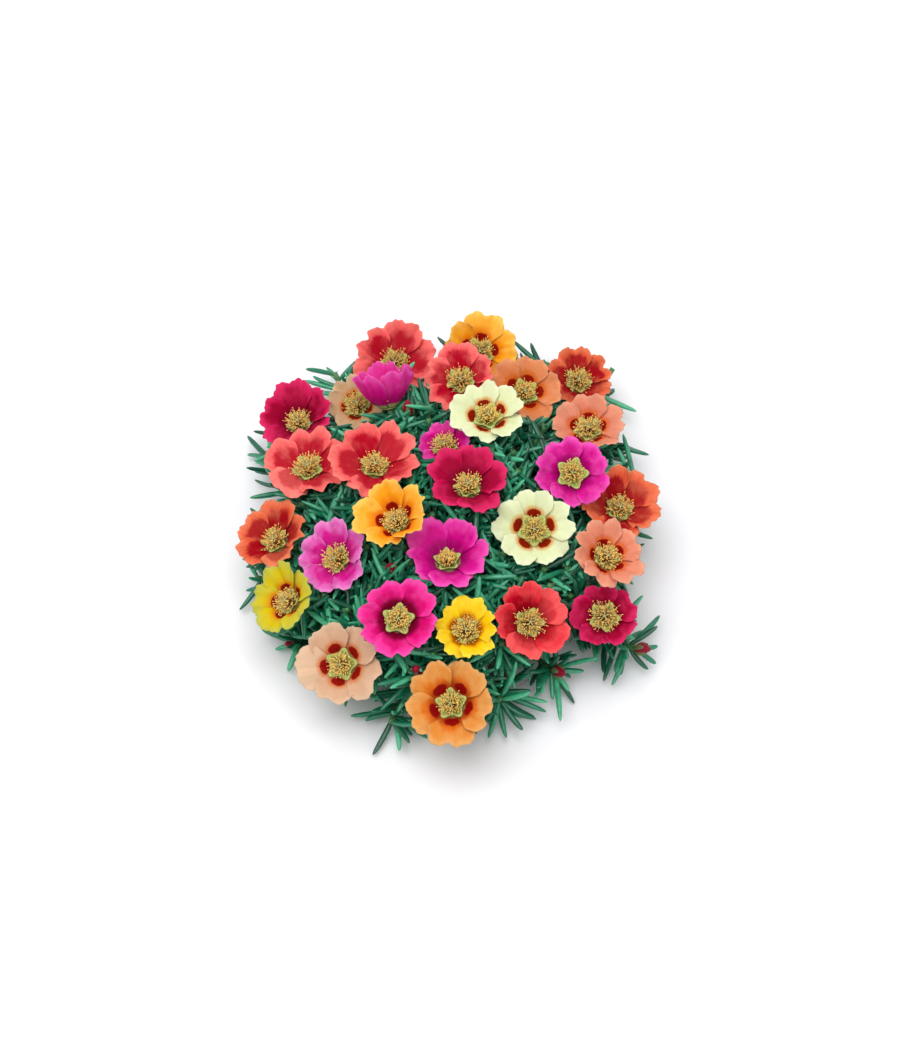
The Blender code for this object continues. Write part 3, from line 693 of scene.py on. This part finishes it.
for number, flower in enumerate(FLOWERS):
    draw = np.random.default_rng(STAMEN_SEED + number)
    seat, axis, across, up = flower_frame(flower)
    k = np.arange(STAMENS)
    angle = k * STAMEN_TURN + draw.normal(0.0, 0.25, STAMENS)
    rank = np.sqrt(0.05 + 0.95 * (k + 0.5) / STAMENS)
    out = outward(across, up, angle)
    spread = BRUSH_FOOT * rank
    wide = star_radius(flower) - STAR_SHOWN.get(flower[9], STAR_COVERED)
    reach = 0.4 + wide * rank * draw.uniform(0.62, 1.12, STAMENS)
    height = BRUSH_HEIGHT - BRUSH_DROP * rank ** 2 + draw.normal(0.0, 0.6, STAMENS)
    q = np.linspace(0.0, 1.0, 4)
    radial = spread[:, None] + (reach - spread)[:, None] * q[None] ** 1.5
    rise = FILAMENT_FOOT + (height - FILAMENT_FOOT)[:, None] * q[None] ** 0.9
    paths = seat + out[:, None] * radial[..., None] + axis * rise[..., None]
    radii = np.tile(FILAMENT_RADIUS * (1.0 - 0.3 * q), (STAMENS, 1))
    verts, quads, tris, owner = sweep(paths, radii, FILAMENT_SIDES)
    along = np.repeat(np.tile(q, STAMENS), FILAMENT_SIDES)
    along = np.concatenate([along, np.zeros(STAMENS), np.ones(STAMENS)])
    tint = np.clip(along * 1.15 - 0.35 * draw.random(STAMENS)[owner], 0.0, 1.0)
    parts = [("filaments", verts, [quads, tris], FILAMENT, tint)]
    lean = unit(draw.normal(0.0, 1.0, (STAMENS, 3)) * 0.8 + out * 0.4 + axis * 0.6)
    verts, quads, tris, owner = beads(paths[:, -1], lean, ANTHER_LENGTH, ANTHER_RADIUS)
    parts.append(("anthers", verts, [quads, tris], ANTHER, draw.random(STAMENS)[owner]))
    angle = np.arange(STYLE_ARMS) * 2.0 * math.pi / STYLE_ARMS + draw.uniform(0.0, 6.0)
    q = np.linspace(0.0, 1.0, STYLE_RINGS)
    arm_radial = (0.15 + ARM_REACH * q ** 1.4)[None, :, None]
    arm_rise = (ARM_FOOT + ARM_RISE * q - ARM_CURL * q ** 3)[None, :, None]
    paths = seat + outward(across, up, angle)[:, None] * arm_radial + axis * arm_rise
    stalk = seat + axis * np.linspace(FILAMENT_FOOT, STYLE_TOP, STYLE_RINGS)[None, :, None]
    arm_radii = np.tile(ARM_RADIUS - ARM_THINS * q, (STYLE_ARMS, 1))
    radii = np.vstack([arm_radii, np.full((1, STYLE_RINGS), STYLE_RADIUS)])
    verts, quads, tris, owner = sweep(np.concatenate([paths, stalk]), radii, STYLE_SIDES)
    parts.append(("style", verts, [quads, tris], STYLE, None))
    for part, verts, faces, material, tint in parts:
        piece = make("%s_%02d" % (part, number + 1), verts, faces, material, tint=tint)
        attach(piece, "root")

# Crown, branches and shoots
# The plant grows from one crown, cut flat at the ground. Branches lie out from it and send up
# soft round shoots, pinkish brown below and green near the tips.

CROWN_RADIUS = 7.0
CROWN_HEIGHT = 9.0
BRANCHES = 8
BRANCH_REACH = 74.0
BRANCH_RADIUS = 2.1
BRANCH_LIE = 1.7
BRANCH_RISE = 5.5
BRANCH_SIDES = 10
SHOOT_RADIUS = 1.45
SHOOT_STEPS = 26
SHOOT_SIDES = 7
CROWN_SIDES = 20
CROWN_PROFILE = [
    # height in mm, share of the radius
    (0.0, 0.95),
    (0.3, 1.0),
    (2.0, 1.0),
    (4.0, 0.95),
    (6.5, 0.8),
    (CROWN_HEIGHT, 0.5),
]
FILL_STEP = 11.0
FILL_APART = 8.5
FILL_OPEN = 150.0
FILL_NEAR = 60.0
FILL_SEED = 31
EDGE_SHOOTS = [
    # across, back, height of the tip
    (-93.0, 77.0, 17.0),
    (-94.0, 57.0, 14.0),
    (-61.0, 107.0, 21.0),
    (52.0, 113.0, 22.0),
    (86.0, 109.0, 22.0),
    (96.0, 45.0, 14.0),
    (-98.0, -15.0, 12.0),
]
FLOWER_CLEAR = 0.33 + 1.1
FLOWER_ABOVE = 22.0
LEAFY_SHOOTS = [
    # across, back, height of the tip, leaves in the solid model, bud at the tip
    (93, -57, 13, 6, True),
    (-76, -51, 8, 5, True),
    (25, -87, 14, 4, False),
    (-52, 93, 14, 4, False),
    (-4, 101, 18, 4, False),
    (40, 96, 18, 4, False),
    (82, 68, 15, 4, False),
    (85, 34, 14, 4, False),
    (84, -5, 12, 4, False),
    (-87, 40, 14, 4, False),
    (-88, 13, 13, 4, False),
    (-29, -97, 10, 4, False),
    (52, -70, 14, 4, True),
    (-58, -56, 14, 4, False),
    (-28, -34, 49, 3, True),
    (2, -46, 49, 3, False),
    (26, -43, 47, 3, False),
    (32, 36, 51, 3, False),
    (-21, 61, 48, 3, True),
    (-60, 3, 43, 3, False),
    (-16, -83, 35, 4, True),
    (25, -69, 39, 3, False),
    (68, -34, 35, 3, False),
]


def branch_point(index, reach):
    """Middle line of a branch: half a sine wave up out of the crown and down to lie on the ground."""
    angle = 2.0 * math.pi * (index + 0.5) / BRANCHES
    share = np.minimum(reach / BRANCH_REACH, 0.8) / 0.8
    height = BRANCH_LIE + BRANCH_RISE * np.sin(math.pi * share)
    return np.stack([math.cos(angle) * reach, math.sin(angle) * reach, height], -1)


def shoot_curve(tip, axis, steps):
    """Cubic curve from the nearest branch to a shoot's tip, which it meets along the axis."""
    plan = math.hypot(tip[0], tip[1])
    index = round(math.atan2(tip[1], tip[0]) / (2.0 * math.pi) * BRANCHES - 0.5) % BRANCHES
    start = branch_point(index, np.float64(min(plan * 0.45, BRANCH_REACH * 0.62)))
    rise = np.linalg.norm(tip - start)
    first = start + np.array([(tip[0] - start[0]) * 0.35, (tip[1] - start[1]) * 0.35, rise * 0.12])
    second = tip - axis * rise * 0.42
    second[2] = max(second[2], 3.0)
    t = np.linspace(0.0, 1.0, steps + 1)[:, None]
    u = 1.0 - t
    return start * u ** 3 + first * 3 * u * u * t + second * 3 * u * t * t + tip * t ** 3


def stem_material():
    """Round soft stem: pinkish brown at the root, green near the tip, faintly streaked."""
    material, tree, shader = new_material("stem", {
        "Roughness": 0.45,
        "Subsurface Weight": 0.08,
        "Subsurface Scale": 0.001,
    })
    place = add_node(tree, "ShaderNodeTexCoord", out=3)
    noise = add_node(tree, "ShaderNodeTexNoise", {"Vector": place, "Scale": 220.0, "Detail": 3.0})
    level = math_node(tree, "MULTIPLY_ADD", noise, 0.5, math_node(tree, "SUBTRACT", tint_of(tree), 0.25))
    colour = layers(tree, linear((132, 74, 62)), [(smooth_step(tree, level, 0.15, 0.85), (74, 132, 76))])
    tree.links.new(colour, shader.inputs["Base Color"])
    return material


def clear_of_flowers(points, margin):
    """True for the points that lie outside every corolla and the cup it holds."""
    good = np.ones(points.shape[:-1], dtype=bool)
    for flower in FLOWERS:
        seat, axis = flower_frame(flower)[:2]
        offset = points - seat
        height = offset @ axis
        radius = np.linalg.norm(offset - height[..., None] * axis, axis=-1)
        surface = np.where(radius > PLATE_RADIUS, petal_height(flower, radius), 0.0)
        inside = (radius <= flower[6] / 2.0 + margin) & (height <= FLOWER_ABOVE)
        good &= ~(inside & (height > surface - FLOWER_CLEAR - margin))
    return good


def among_flowers(x, y):
    """True where flowers stand on every side of a place: no open angle is wider than FILL_OPEN."""
    away = np.array([[flower[1] - x, flower[2] - y] for flower in FLOWERS])
    near = away[np.linalg.norm(away, axis=1) < FILL_NEAR]
    angles = np.sort(np.arctan2(near[:, 1], near[:, 0]))
    open_angles = np.diff(np.concatenate([angles, angles[:1] + 2.0 * math.pi]))
    return open_angles.max() < math.radians(FILL_OPEN)


def leaning(x, y, lean):
    """Unit direction that leans out from the middle of the mound by a slope of lean."""
    return unit(np.array([x * lean, y * lean, 1.0]))


def filling_shoots(shoots):
    """Shoots in the gaps: on a loose grid over the mound, each as tall as the flowers over it allow."""
    draw = np.random.default_rng(FILL_SEED)
    tips = [shoot[0] for shoot in shoots] + [np.array(place) for place in EDGE_SHOOTS]
    added = [(np.array([x, y, z]), leaning(x, y, 0.008), 0, 0.45, False) for x, y, z in EDGE_SHOOTS]
    for x in np.arange(-86.0, 87.0, FILL_STEP):
        for y in np.arange(-98.0, 99.0, FILL_STEP):
            px, py = x + draw.uniform(-3.0, 3.0), y + draw.uniform(-3.0, 3.0)
            heights = mound(px, py) + 2.0 - np.arange(0.0, 40.0, 1.5)
            columns = np.stack([np.full(len(heights), px), np.full(len(heights), py), heights], -1)
            good = clear_of_flowers(columns, 2.5) & (heights > 10.0)
            if not good.any() or not among_flowers(px, py):
                continue
            tip = columns[np.argmax(good)]
            if min(np.linalg.norm(tip - other) for other in tips) < FILL_APART:
                continue
            tips.append(tip)
            added.append((tip, leaning(px, py, 0.004), 0, 0.45, False))
    return added


def joined(parts):
    """Several bodies as one: their points, quads, triangles and tints end to end."""
    starts = np.cumsum([0] + [len(part[0]) for part in parts])
    verts = np.concatenate([part[0] for part in parts])
    quads = np.concatenate([part[1] + start for part, start in zip(parts, starts)])
    tris = np.concatenate([part[2] + start for part, start in zip(parts, starts)])
    return verts, quads, tris, np.concatenate([part[3] for part in parts])


# A shoot is its tip, its direction there, the solid model's leaves on it, the share of it that is
# bare, and whether it carries a bud
shoots = []
for flower in FLOWERS:
    seat, axis = flower_frame(flower)[:2]
    shoots.append((seat - axis * (PLATE_HALF + 0.3), axis, 3, 0.3, False))
for x, y, z, count, has_bud in LEAFY_SHOOTS:
    slope = (1.14 if z < 30 else 0.25) / math.hypot(x, y)
    shoots.append((np.array([x, y, z], dtype=float), leaning(x, y, slope), count, 0.45, has_bud))
solid_shoots = len(shoots)
shoots += filling_shoots(shoots)
curves = [shoot_curve(shoot[0], shoot[1], SHOOT_STEPS) for shoot in shoots]
q = np.linspace(0.0, 1.0, SHOOT_STEPS + 1)
knots = 1.0 + 0.10 * np.sin(q * 40.0)
radii = np.tile(SHOOT_RADIUS * (1.10 - 0.18 * q) * knots, (len(curves), 1))
verts, quads, tris, owner = sweep(np.array(curves), radii, SHOOT_SIDES)
along = np.tile(np.repeat(q, SHOOT_SIDES), len(curves))
shoot_part = (verts, quads, tris, np.concatenate([along, np.zeros(len(curves)), np.ones(len(curves))]))
reaches = np.linspace(2.0, BRANCH_REACH, 30)
paths = np.array([branch_point(index, reaches) for index in range(BRANCHES)])
radii = np.tile(BRANCH_RADIUS * (1.0 - 0.25 * (reaches / BRANCH_REACH) ** 3), (BRANCHES, 1))
verts, quads, tris, owner = sweep(paths, radii, BRANCH_SIDES)
branch_part = (verts, quads, tris, np.full(len(verts), 0.1))
heights, shares = np.array(CROWN_PROFILE).T
paths = np.stack([0 * heights, 0 * heights, heights], -1)[None]
verts, quads, tris, owner = sweep(paths, (shares * CROWN_RADIUS)[None], CROWN_SIDES)
crown_part = (verts, quads, tris, np.full(len(verts), 0.05))
verts, quads, tris, tint = joined((shoot_part, branch_part, crown_part))
stems = make("stems", verts, [quads, tris], stem_material(), tint=tint)
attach(stems, "root")
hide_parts("leafy_stems")

# Leaves
# Fleshy, nearly round blue-green leaves spiral up every shoot and crowd under each flower.
# They grow from the stem on a short narrowed foot and end in a blunt point.

LEAF_LENGTH = 21.0
LEAF_RADIUS = 1.75
LEAF_CLEAR = 1.0
LEAF_APART = 4.2
LEAF_SIDES = 7
LEAF_PIECES = 3
LEAF_TURN = math.radians(137.5)
LEAF_SLENDER = 0.88
LEAF_FLATTEN = 0.82
LEAF_PROFILE = [
    # share of the length, share of the half width
    (0.0, 0.50),
    (0.12, 0.72),
    (0.30, 0.94),
    (0.52, 1.0),
    (0.74, 0.92),
    (0.90, 0.68),
    (0.975, 0.36),
    (1.0, 0.06),
]
LEAF_SEED = 77
SOLID_SEED = 100
SOLID_TRIES = 12
SOLID_STEPS = (0.3, 0.5, 0.7, 0.85, 1.0)
MORE_LEAVES = 24
MORE_TRIES = 14
MORE_CLEAR = 0.8
MORE_LOWEST = 1.3
MORE_APART = 2.6
MORE_LENGTH = 23.0
LEAF_EDGE = (106.0, 124.0)
LEAF_TOP = 9.0
SHADE_WIDTH = 76.0
SHADE_DEPTH = 90.0
SHADE_BELOW = 15.0


def solid_leaves(points, count, seed, start_share, taken, owner):
    """The solid model's own leaves up one shoot, by the same rule and draws."""
    draw = random.Random(seed)
    kept = []
    turn = draw.uniform(0.0, 2.0 * math.pi)
    for k in range(count * SOLID_TRIES):
        share = start_share + (1.0 - start_share) * ((k % count) + draw.random()) / count
        share = 0.97 * share ** 0.8
        place = share * (len(points) - 1)
        i = min(int(place), len(points) - 2)
        near, far = Vector(points[i]), Vector(points[i + 1])
        root = near.lerp(far, place - i)
        ahead = (far - near).normalized()
        turn += LEAF_TURN
        side = ahead.orthogonal().normalized()
        out = side * math.cos(turn) + ahead.cross(side) * math.sin(turn)
        tilt = draw.uniform(0.15, 0.65)
        length = LEAF_LENGTH * draw.uniform(0.75, 1.08)
        bow = draw.uniform(0.7, 3.5)
        along = (out + ahead * tilt).normalized() * length
        steps = np.array([tuple(root + along * q + Vector((0.0, 0.0, bow * q * q))) for q in SOLID_STEPS])
        clear = clear_of_flowers(steps, LEAF_CLEAR + LEAF_RADIUS).all()
        if steps[:, 2].min() < LEAF_RADIUS * 0.8 or not clear:
            continue
        others = np.concatenate([spots for mark, spots in taken if mark != owner])
        if np.linalg.norm(steps[:, None] - others[None], axis=2).min() < LEAF_APART:
            continue
        kept.append((np.array(root), np.array(along), np.array([0.0, 0.0, bow])))
        taken.append(((owner, "leaf"), steps))
        if len(kept) == count:
            break
    return kept


def dense(points):
    """Marks close together along a stem's middle line."""
    q = np.arange(5)[:, None] / 5.0
    marks = [near * (1.0 - q) + far * q for near, far in zip(points, points[1:])]
    return np.concatenate(marks + [points[-1:]])


def more_leaves(curve, spots, draw):
    """Leaves up one shoot: they spiral round it, crowd to its tip and bow any way but mostly up.

    Of the many drawn, those are kept that are clear of flowers, off the ground, within the
    plant's reach, not deep in its shade, and not too near a leaf that is already there.
    """
    kept = []
    n = MORE_LEAVES * MORE_TRIES
    marks = np.arange(SHOOT_STEPS + 1)
    tangent = np.gradient(curve, axis=0)
    place = np.clip((0.10 + 0.90 * draw.random(n)) ** 0.45, 0.0, 0.985) * SHOOT_STEPS
    root = np.stack([np.interp(place, marks, curve[:, k]) for k in range(3)], -1)
    ahead = unit(np.stack([np.interp(place, marks, tangent[:, k]) for k in range(3)], -1))
    side = unit(np.cross(ahead, [0.31, 0.77, 0.55]))
    turn = np.arange(n) * LEAF_TURN + draw.normal(0.0, 0.3, n)
    out = side * np.cos(turn)[:, None] + np.cross(ahead, side) * np.sin(turn)[:, None]
    along = out + ahead * draw.uniform(0.1, 1.1, n)[:, None]
    along *= (MORE_LENGTH * draw.uniform(0.65, 1.05, n) / np.linalg.norm(along, axis=1))[:, None]
    bow = draw.normal(0.0, 2.0, (n, 3)) + [0.0, 0.0, 2.0]
    part = np.array(SOLID_STEPS)[None, :, None]
    steps = root[:, None] + along[:, None] * part + bow[:, None] * part ** 2
    x, y, z = steps[..., 0], steps[..., 1], steps[..., 2]
    within = (np.abs(steps[:, -1, :2] + np.array(PLAN_SHIFT)[:2]) < LEAF_EDGE).all(1)
    low_enough = z[:, -1] < mound(x[:, -1], y[:, -1]) + LEAF_TOP
    inside = ((x / SHADE_WIDTH) ** 2 + (y / SHADE_DEPTH) ** 2 < 1.0).all(1)
    shaded = inside & ((mound(x, y) - z).min(1) > SHADE_BELOW)
    good = within & low_enough & ~shaded & (z.min(1) > MORE_LOWEST)
    good &= clear_of_flowers(steps, MORE_CLEAR).all(1)
    for i in np.nonzero(good)[0]:
        pair = steps[i, 1] * 0.5 + steps[i, 2] * 0.5, steps[i, 4]
        if any(np.linalg.norm(spots[k] - pair[k], axis=1).min() < MORE_APART for k in range(2)):
            continue
        for k in range(2):
            spots[k] = np.vstack([spots[k], pair[k]])
        kept.append((root[i], along[i], bow[i]))
        if len(kept) == MORE_LEAVES:
            break
    return kept


def leaf_mesh(leaves, draw):
    """Every leaf as a bowed spindle: rings of an ellipse along the leaf, widest past the middle."""
    roots, along, bow = (np.array([leaf[k] for leaf in leaves]) for k in range(3))
    q, width = np.array(LEAF_PROFILE).T
    length = np.linalg.norm(along, axis=1)
    middle = roots[:, None] + along[:, None] * q[None, :, None]
    middle += bow[:, None] * q[None, :, None] ** 2
    ahead = along / length[:, None]
    side = unit(np.cross(ahead, [0.0, 0.0, 1.0]))
    over = np.cross(side, ahead) * LEAF_FLATTEN
    radius = LEAF_RADIUS * LEAF_SLENDER * np.minimum(1.0, length / 17.0)
    radius = radius * draw.uniform(0.85, 1.05, len(leaves))
    turn = turns(LEAF_SIDES)[None, :, None]
    ring = side[:, None] * np.cos(turn) + over[:, None] * np.sin(turn)
    rings = middle[:, :, None] + ring[:, None] * (radius[:, None] * width[None])[..., None, None]
    verts, quads, tris, owner = closed_rings(rings, np.concatenate([middle[:, 0], middle[:, -1]]))
    tint = draw.random(len(leaves))[owner]
    v = np.tile(np.repeat(q, LEAF_SIDES), len(leaves))
    v = np.concatenate([v, np.zeros(len(leaves)), np.ones(len(leaves))])
    return verts, quads, tris, tint, np.stack([tint, v], -1)


def leaf_material():
    """Waxy blue-green skin in mottled tones, each leaf its own tone; the lightest tone is painted
    highlight, and the foot is darkened with painted shade.
    """
    material, tree, shader = new_material("leaf", {
        "Roughness": 0.34,
        "Coat Weight": 0.35,
        "Coat Roughness": 0.22,
        "Subsurface Weight": 0.08,
        "Subsurface Radius": (0.4, 1.0, 0.5),
        "Subsurface Scale": 0.0015,
    })
    place = add_node(tree, "ShaderNodeTexCoord", out=3)
    noise = add_node(tree, "ShaderNodeTexNoise", {"Vector": place, "Scale": 260.0, "Detail": 2.0})
    level = math_node(tree, "MULTIPLY_ADD", noise, 0.5, math_node(tree, "SUBTRACT", tint_of(tree), 0.25))
    colour = layers(tree, linear((4, 80, 56)), [
        (smooth_step(tree, level, 0.0, 0.55), (18, 126, 90)),
        # Lightest tone: painted highlight, spread by noise and by each leaf's own tone
        (smooth_step(tree, level, 0.5, 1.0), (76, 182, 136)),
        # Painted shade: each leaf darkened toward its foot, where it sits in the plant's shade
        (smooth_step(tree, uv_parts(tree)[1], 0.0, 0.30, 0.7, 0.0), (30, 92, 58)),
    ])
    tree.links.new(colour, shader.inputs["Base Color"])
    bump = add_node(tree, "ShaderNodeBump", {"Strength": 0.2, "Distance": 0.0003, "Height": noise})
    tree.links.new(bump, shader.inputs["Normal"])
    return material


taken = []
for index in range(BRANCHES):
    points = branch_point(index, np.array([2.0, 18.0, 36.0, 56.0, 74.0]))
    taken.append((("branch", index), dense(points)))
coarse = [shoot_curve(shoot[0], shoot[1], 3) for shoot in shoots[:solid_shoots]]
for number, points in enumerate(coarse):
    taken.append((number, dense(points)))
leaves = []
for number, (tip, axis, count, start_share, has_bud) in enumerate(shoots[:solid_shoots]):
    leaves += solid_leaves(coarse[number], count, SOLID_SEED + number, start_share, taken, number)

draw = np.random.default_rng(LEAF_SEED)
spots = [np.array([root + along * part for root, along, _ in leaves]) for part in (0.6, 1.0)]
for curve in curves:
    leaves += more_leaves(curve, spots, draw)

LEAF_SKIN = leaf_material()
for number in range(LEAF_PIECES):
    verts, quads, tris, tint, uv = leaf_mesh(leaves[number::LEAF_PIECES], draw)
    foliage = make("leaves_%d" % (number + 1), verts, [quads, tris], LEAF_SKIN, uv, tint)
    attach(foliage, "root")
    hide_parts("leafy_stems")

# Buds
# Pointed red buds stand among the leaves at some shoot tips. They are rolled petals, still shut,
# each clasped by four green sepals that grow from the shoot under it.

BUD_LENGTH = 9.5
BUD_RADIUS = 2.9
BUD_SIDES = 14
BUD_PROFILE = [
    # share of the length, share of the radius
    (-0.12, 0.55),
    (0.05, 0.82),
    (0.22, 1.0),
    (0.42, 0.98),
    (0.62, 0.78),
    (0.8, 0.5),
    (0.93, 0.24),
    (1.0, 0.05),
]
SEPAL_LENGTH = 0.72
SEPAL_RADIUS = 1.7
SEPAL_OUT = 1.5
SEPAL_LEAN = 0.14
SEPAL_SIDES = 10
SEPAL_PROFILE = [(-0.15, 0.5), (0.0, 0.8), (0.3, 1.0), (0.6, 0.8), (0.85, 0.45), (1.0, 0.08)]
BUD_RED = plain_material("bud_red", (166, 18, 54), 0.42, (92, 10, 32), 0.05)
SEPAL = plain_material("sepal", (96, 140, 84), 0.42, (120, 66, 50), 0.05)


def spindles(bases, axes, length, radius, profile, sides):
    """Closed bodies of round rings along their axes; profile gives each ring's place and width."""
    q, width = np.array(profile).T
    paths = bases[:, None] + axes[:, None] * (q * length)[None, :, None]
    return sweep(paths, np.tile(width * radius, (len(bases), 1)), sides)


tips = np.array([shoot[0] for shoot in shoots if shoot[4]])
axes = np.array([shoot[1] for shoot in shoots if shoot[4]])
verts, quads, tris, owner = spindles(tips, axes, BUD_LENGTH, BUD_RADIUS, BUD_PROFILE, BUD_SIDES)
tint = np.clip((verts - tips[owner])[:, 2] / BUD_LENGTH, 0.0, 1.0)
buds = make("buds", verts, [quads, tris], BUD_RED, tint=tint)
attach(buds, "root")
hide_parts("leafy_stems")
side = unit(np.cross(axes, [0.0, 1.0, 0.0]))
other = np.cross(axes, side)
ways = np.concatenate([side, -side, other, -other])
bases = np.tile(tips, (4, 1)) + ways * SEPAL_OUT
lean = np.tile(axes, (4, 1)) + ways * SEPAL_LEAN
length = BUD_LENGTH * SEPAL_LENGTH
verts, quads, tris, owner = spindles(bases, lean, length, SEPAL_RADIUS, SEPAL_PROFILE, SEPAL_SIDES)
sepals = make("sepals", verts, [quads, tris], SEPAL, tint=draw.random(len(bases))[owner])
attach(sepals, "root")

# Hairs
# Pale pinkish-brown hairs stand in tufts near every shoot tip. They are soft and dry, and grow
# from the stem where the leaves join it.

TUFTS = 5
HAIRS = 5
HAIR_LENGTH = 5.0
HAIR_RADIUS = 0.07
HAIR_SIDES = 3
HAIR_TAPER = (1.0, 0.75, 0.2)
HAIR_BOW = 0.8
HAIRY_SHARE = (0.80, 0.985)
HAIR = plain_material("hair", (206, 168, 140), 0.6, (150, 96, 84))

starts, ways = [], []
for curve in curves:
    tangent = np.gradient(curve, axis=0)
    for place in np.linspace(*HAIRY_SHARE, TUFTS) * SHOOT_STEPS:
        i = int(place)
        spot = curve[i] + (curve[min(i + 1, SHOOT_STEPS)] - curve[i]) * (place - i)
        ways.append(draw.normal(0.0, 1.0, (HAIRS, 3)) + unit(tangent[i]) * 0.8)
        starts.append(np.tile(spot, (HAIRS, 1)))
starts = np.concatenate(starts)
ways = unit(np.concatenate(ways))
ends = starts + ways * (HAIR_LENGTH * draw.uniform(0.6, 1.1, len(ways)))[:, None]
good = clear_of_flowers(np.stack([(starts + ends) / 2.0, ends], 1), -0.6).all(1)
starts, ends = starts[good], ends[good]
q = np.linspace(0.0, 1.0, len(HAIR_TAPER))[None, :, None]
paths = starts[:, None] * (1.0 - q) + ends[:, None] * q
paths[..., 2] += HAIR_BOW * q[..., 0] ** 2
radii = np.tile(HAIR_RADIUS * np.array(HAIR_TAPER), (len(paths), 1))
verts, quads, tris, owner = sweep(paths, radii, HAIR_SIDES)
hairs = make("hairs", verts, [quads, tris], HAIR, tint=draw.random(len(paths))[owner])
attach(hairs, "root")

# Stage
# A plain pale floor stands in for the photograph's pale ground. The light is soft and comes
# from above, and the camera looks down at the photograph's angle.

CAMERA_ELEVATION = 57.0
CAMERA_DISTANCE = 1.3
CAMERA_TARGET_HEIGHT = 0.038
FRAME_HEIGHT = 0.525

floor_mesh = bpy.data.meshes.new("floor")
floor_mesh.from_pydata([(-6, -6, 0), (6, -6, 0), (6, 6, 0), (-6, 6, 0)], [], [(0, 1, 2, 3)])
floor = bpy.data.objects.new("floor", floor_mesh)
bpy.context.scene.collection.objects.link(floor)
floor_mesh.materials.append(new_material("floor", {
    "Base Color": linear((244, 244, 247)),
    "Roughness": 0.9,
    "Specular IOR Level": 0.1,
})[0])

world = bpy.data.worlds.new("studio")
world.use_nodes = True
world.node_tree.nodes["Background"].inputs["Color"].default_value = (1.0, 1.0, 1.0, 1.0)
world.node_tree.nodes["Background"].inputs["Strength"].default_value = 0.56
bpy.context.scene.world = world


def soft_light(name, place, size, power):
    """Square light that faces the plant."""
    light = bpy.data.lights.new(name, "AREA")
    light.shape = "SQUARE"
    light.size = size
    light.energy = power
    obj = bpy.data.objects.new(name, light)
    obj.location = place
    obj.rotation_euler = (-Vector(place)).to_track_quat("-Z", "Y").to_euler()
    bpy.context.scene.collection.objects.link(obj)


soft_light("key", (-0.3, -0.15, 1.5), 1.4, 18.0)
soft_light("fill", (0.9, -0.9, 0.9), 0.9, 3.0)
soft_light("back", (0.2, 1.2, 1.0), 0.8, 4.0)

camera_data = bpy.data.cameras.new("camera")
camera_data.lens = 36.0 * CAMERA_DISTANCE / FRAME_HEIGHT
camera_data.sensor_width = 36.0
camera_data.dof.use_dof = False
camera = bpy.data.objects.new("camera", camera_data)
bpy.context.scene.collection.objects.link(camera)
rise = math.radians(CAMERA_ELEVATION)
target = Vector((PLAN_SHIFT[0] * 0.001, PLAN_SHIFT[1] * 0.001, CAMERA_TARGET_HEIGHT))
away = Vector((0.0, -math.cos(rise), math.sin(rise)))
camera.location = target + away * CAMERA_DISTANCE
camera.rotation_euler = away.to_track_quat("Z", "Y").to_euler()
bpy.context.scene.camera = camera
bpy.context.scene.view_settings.view_transform = "Standard"
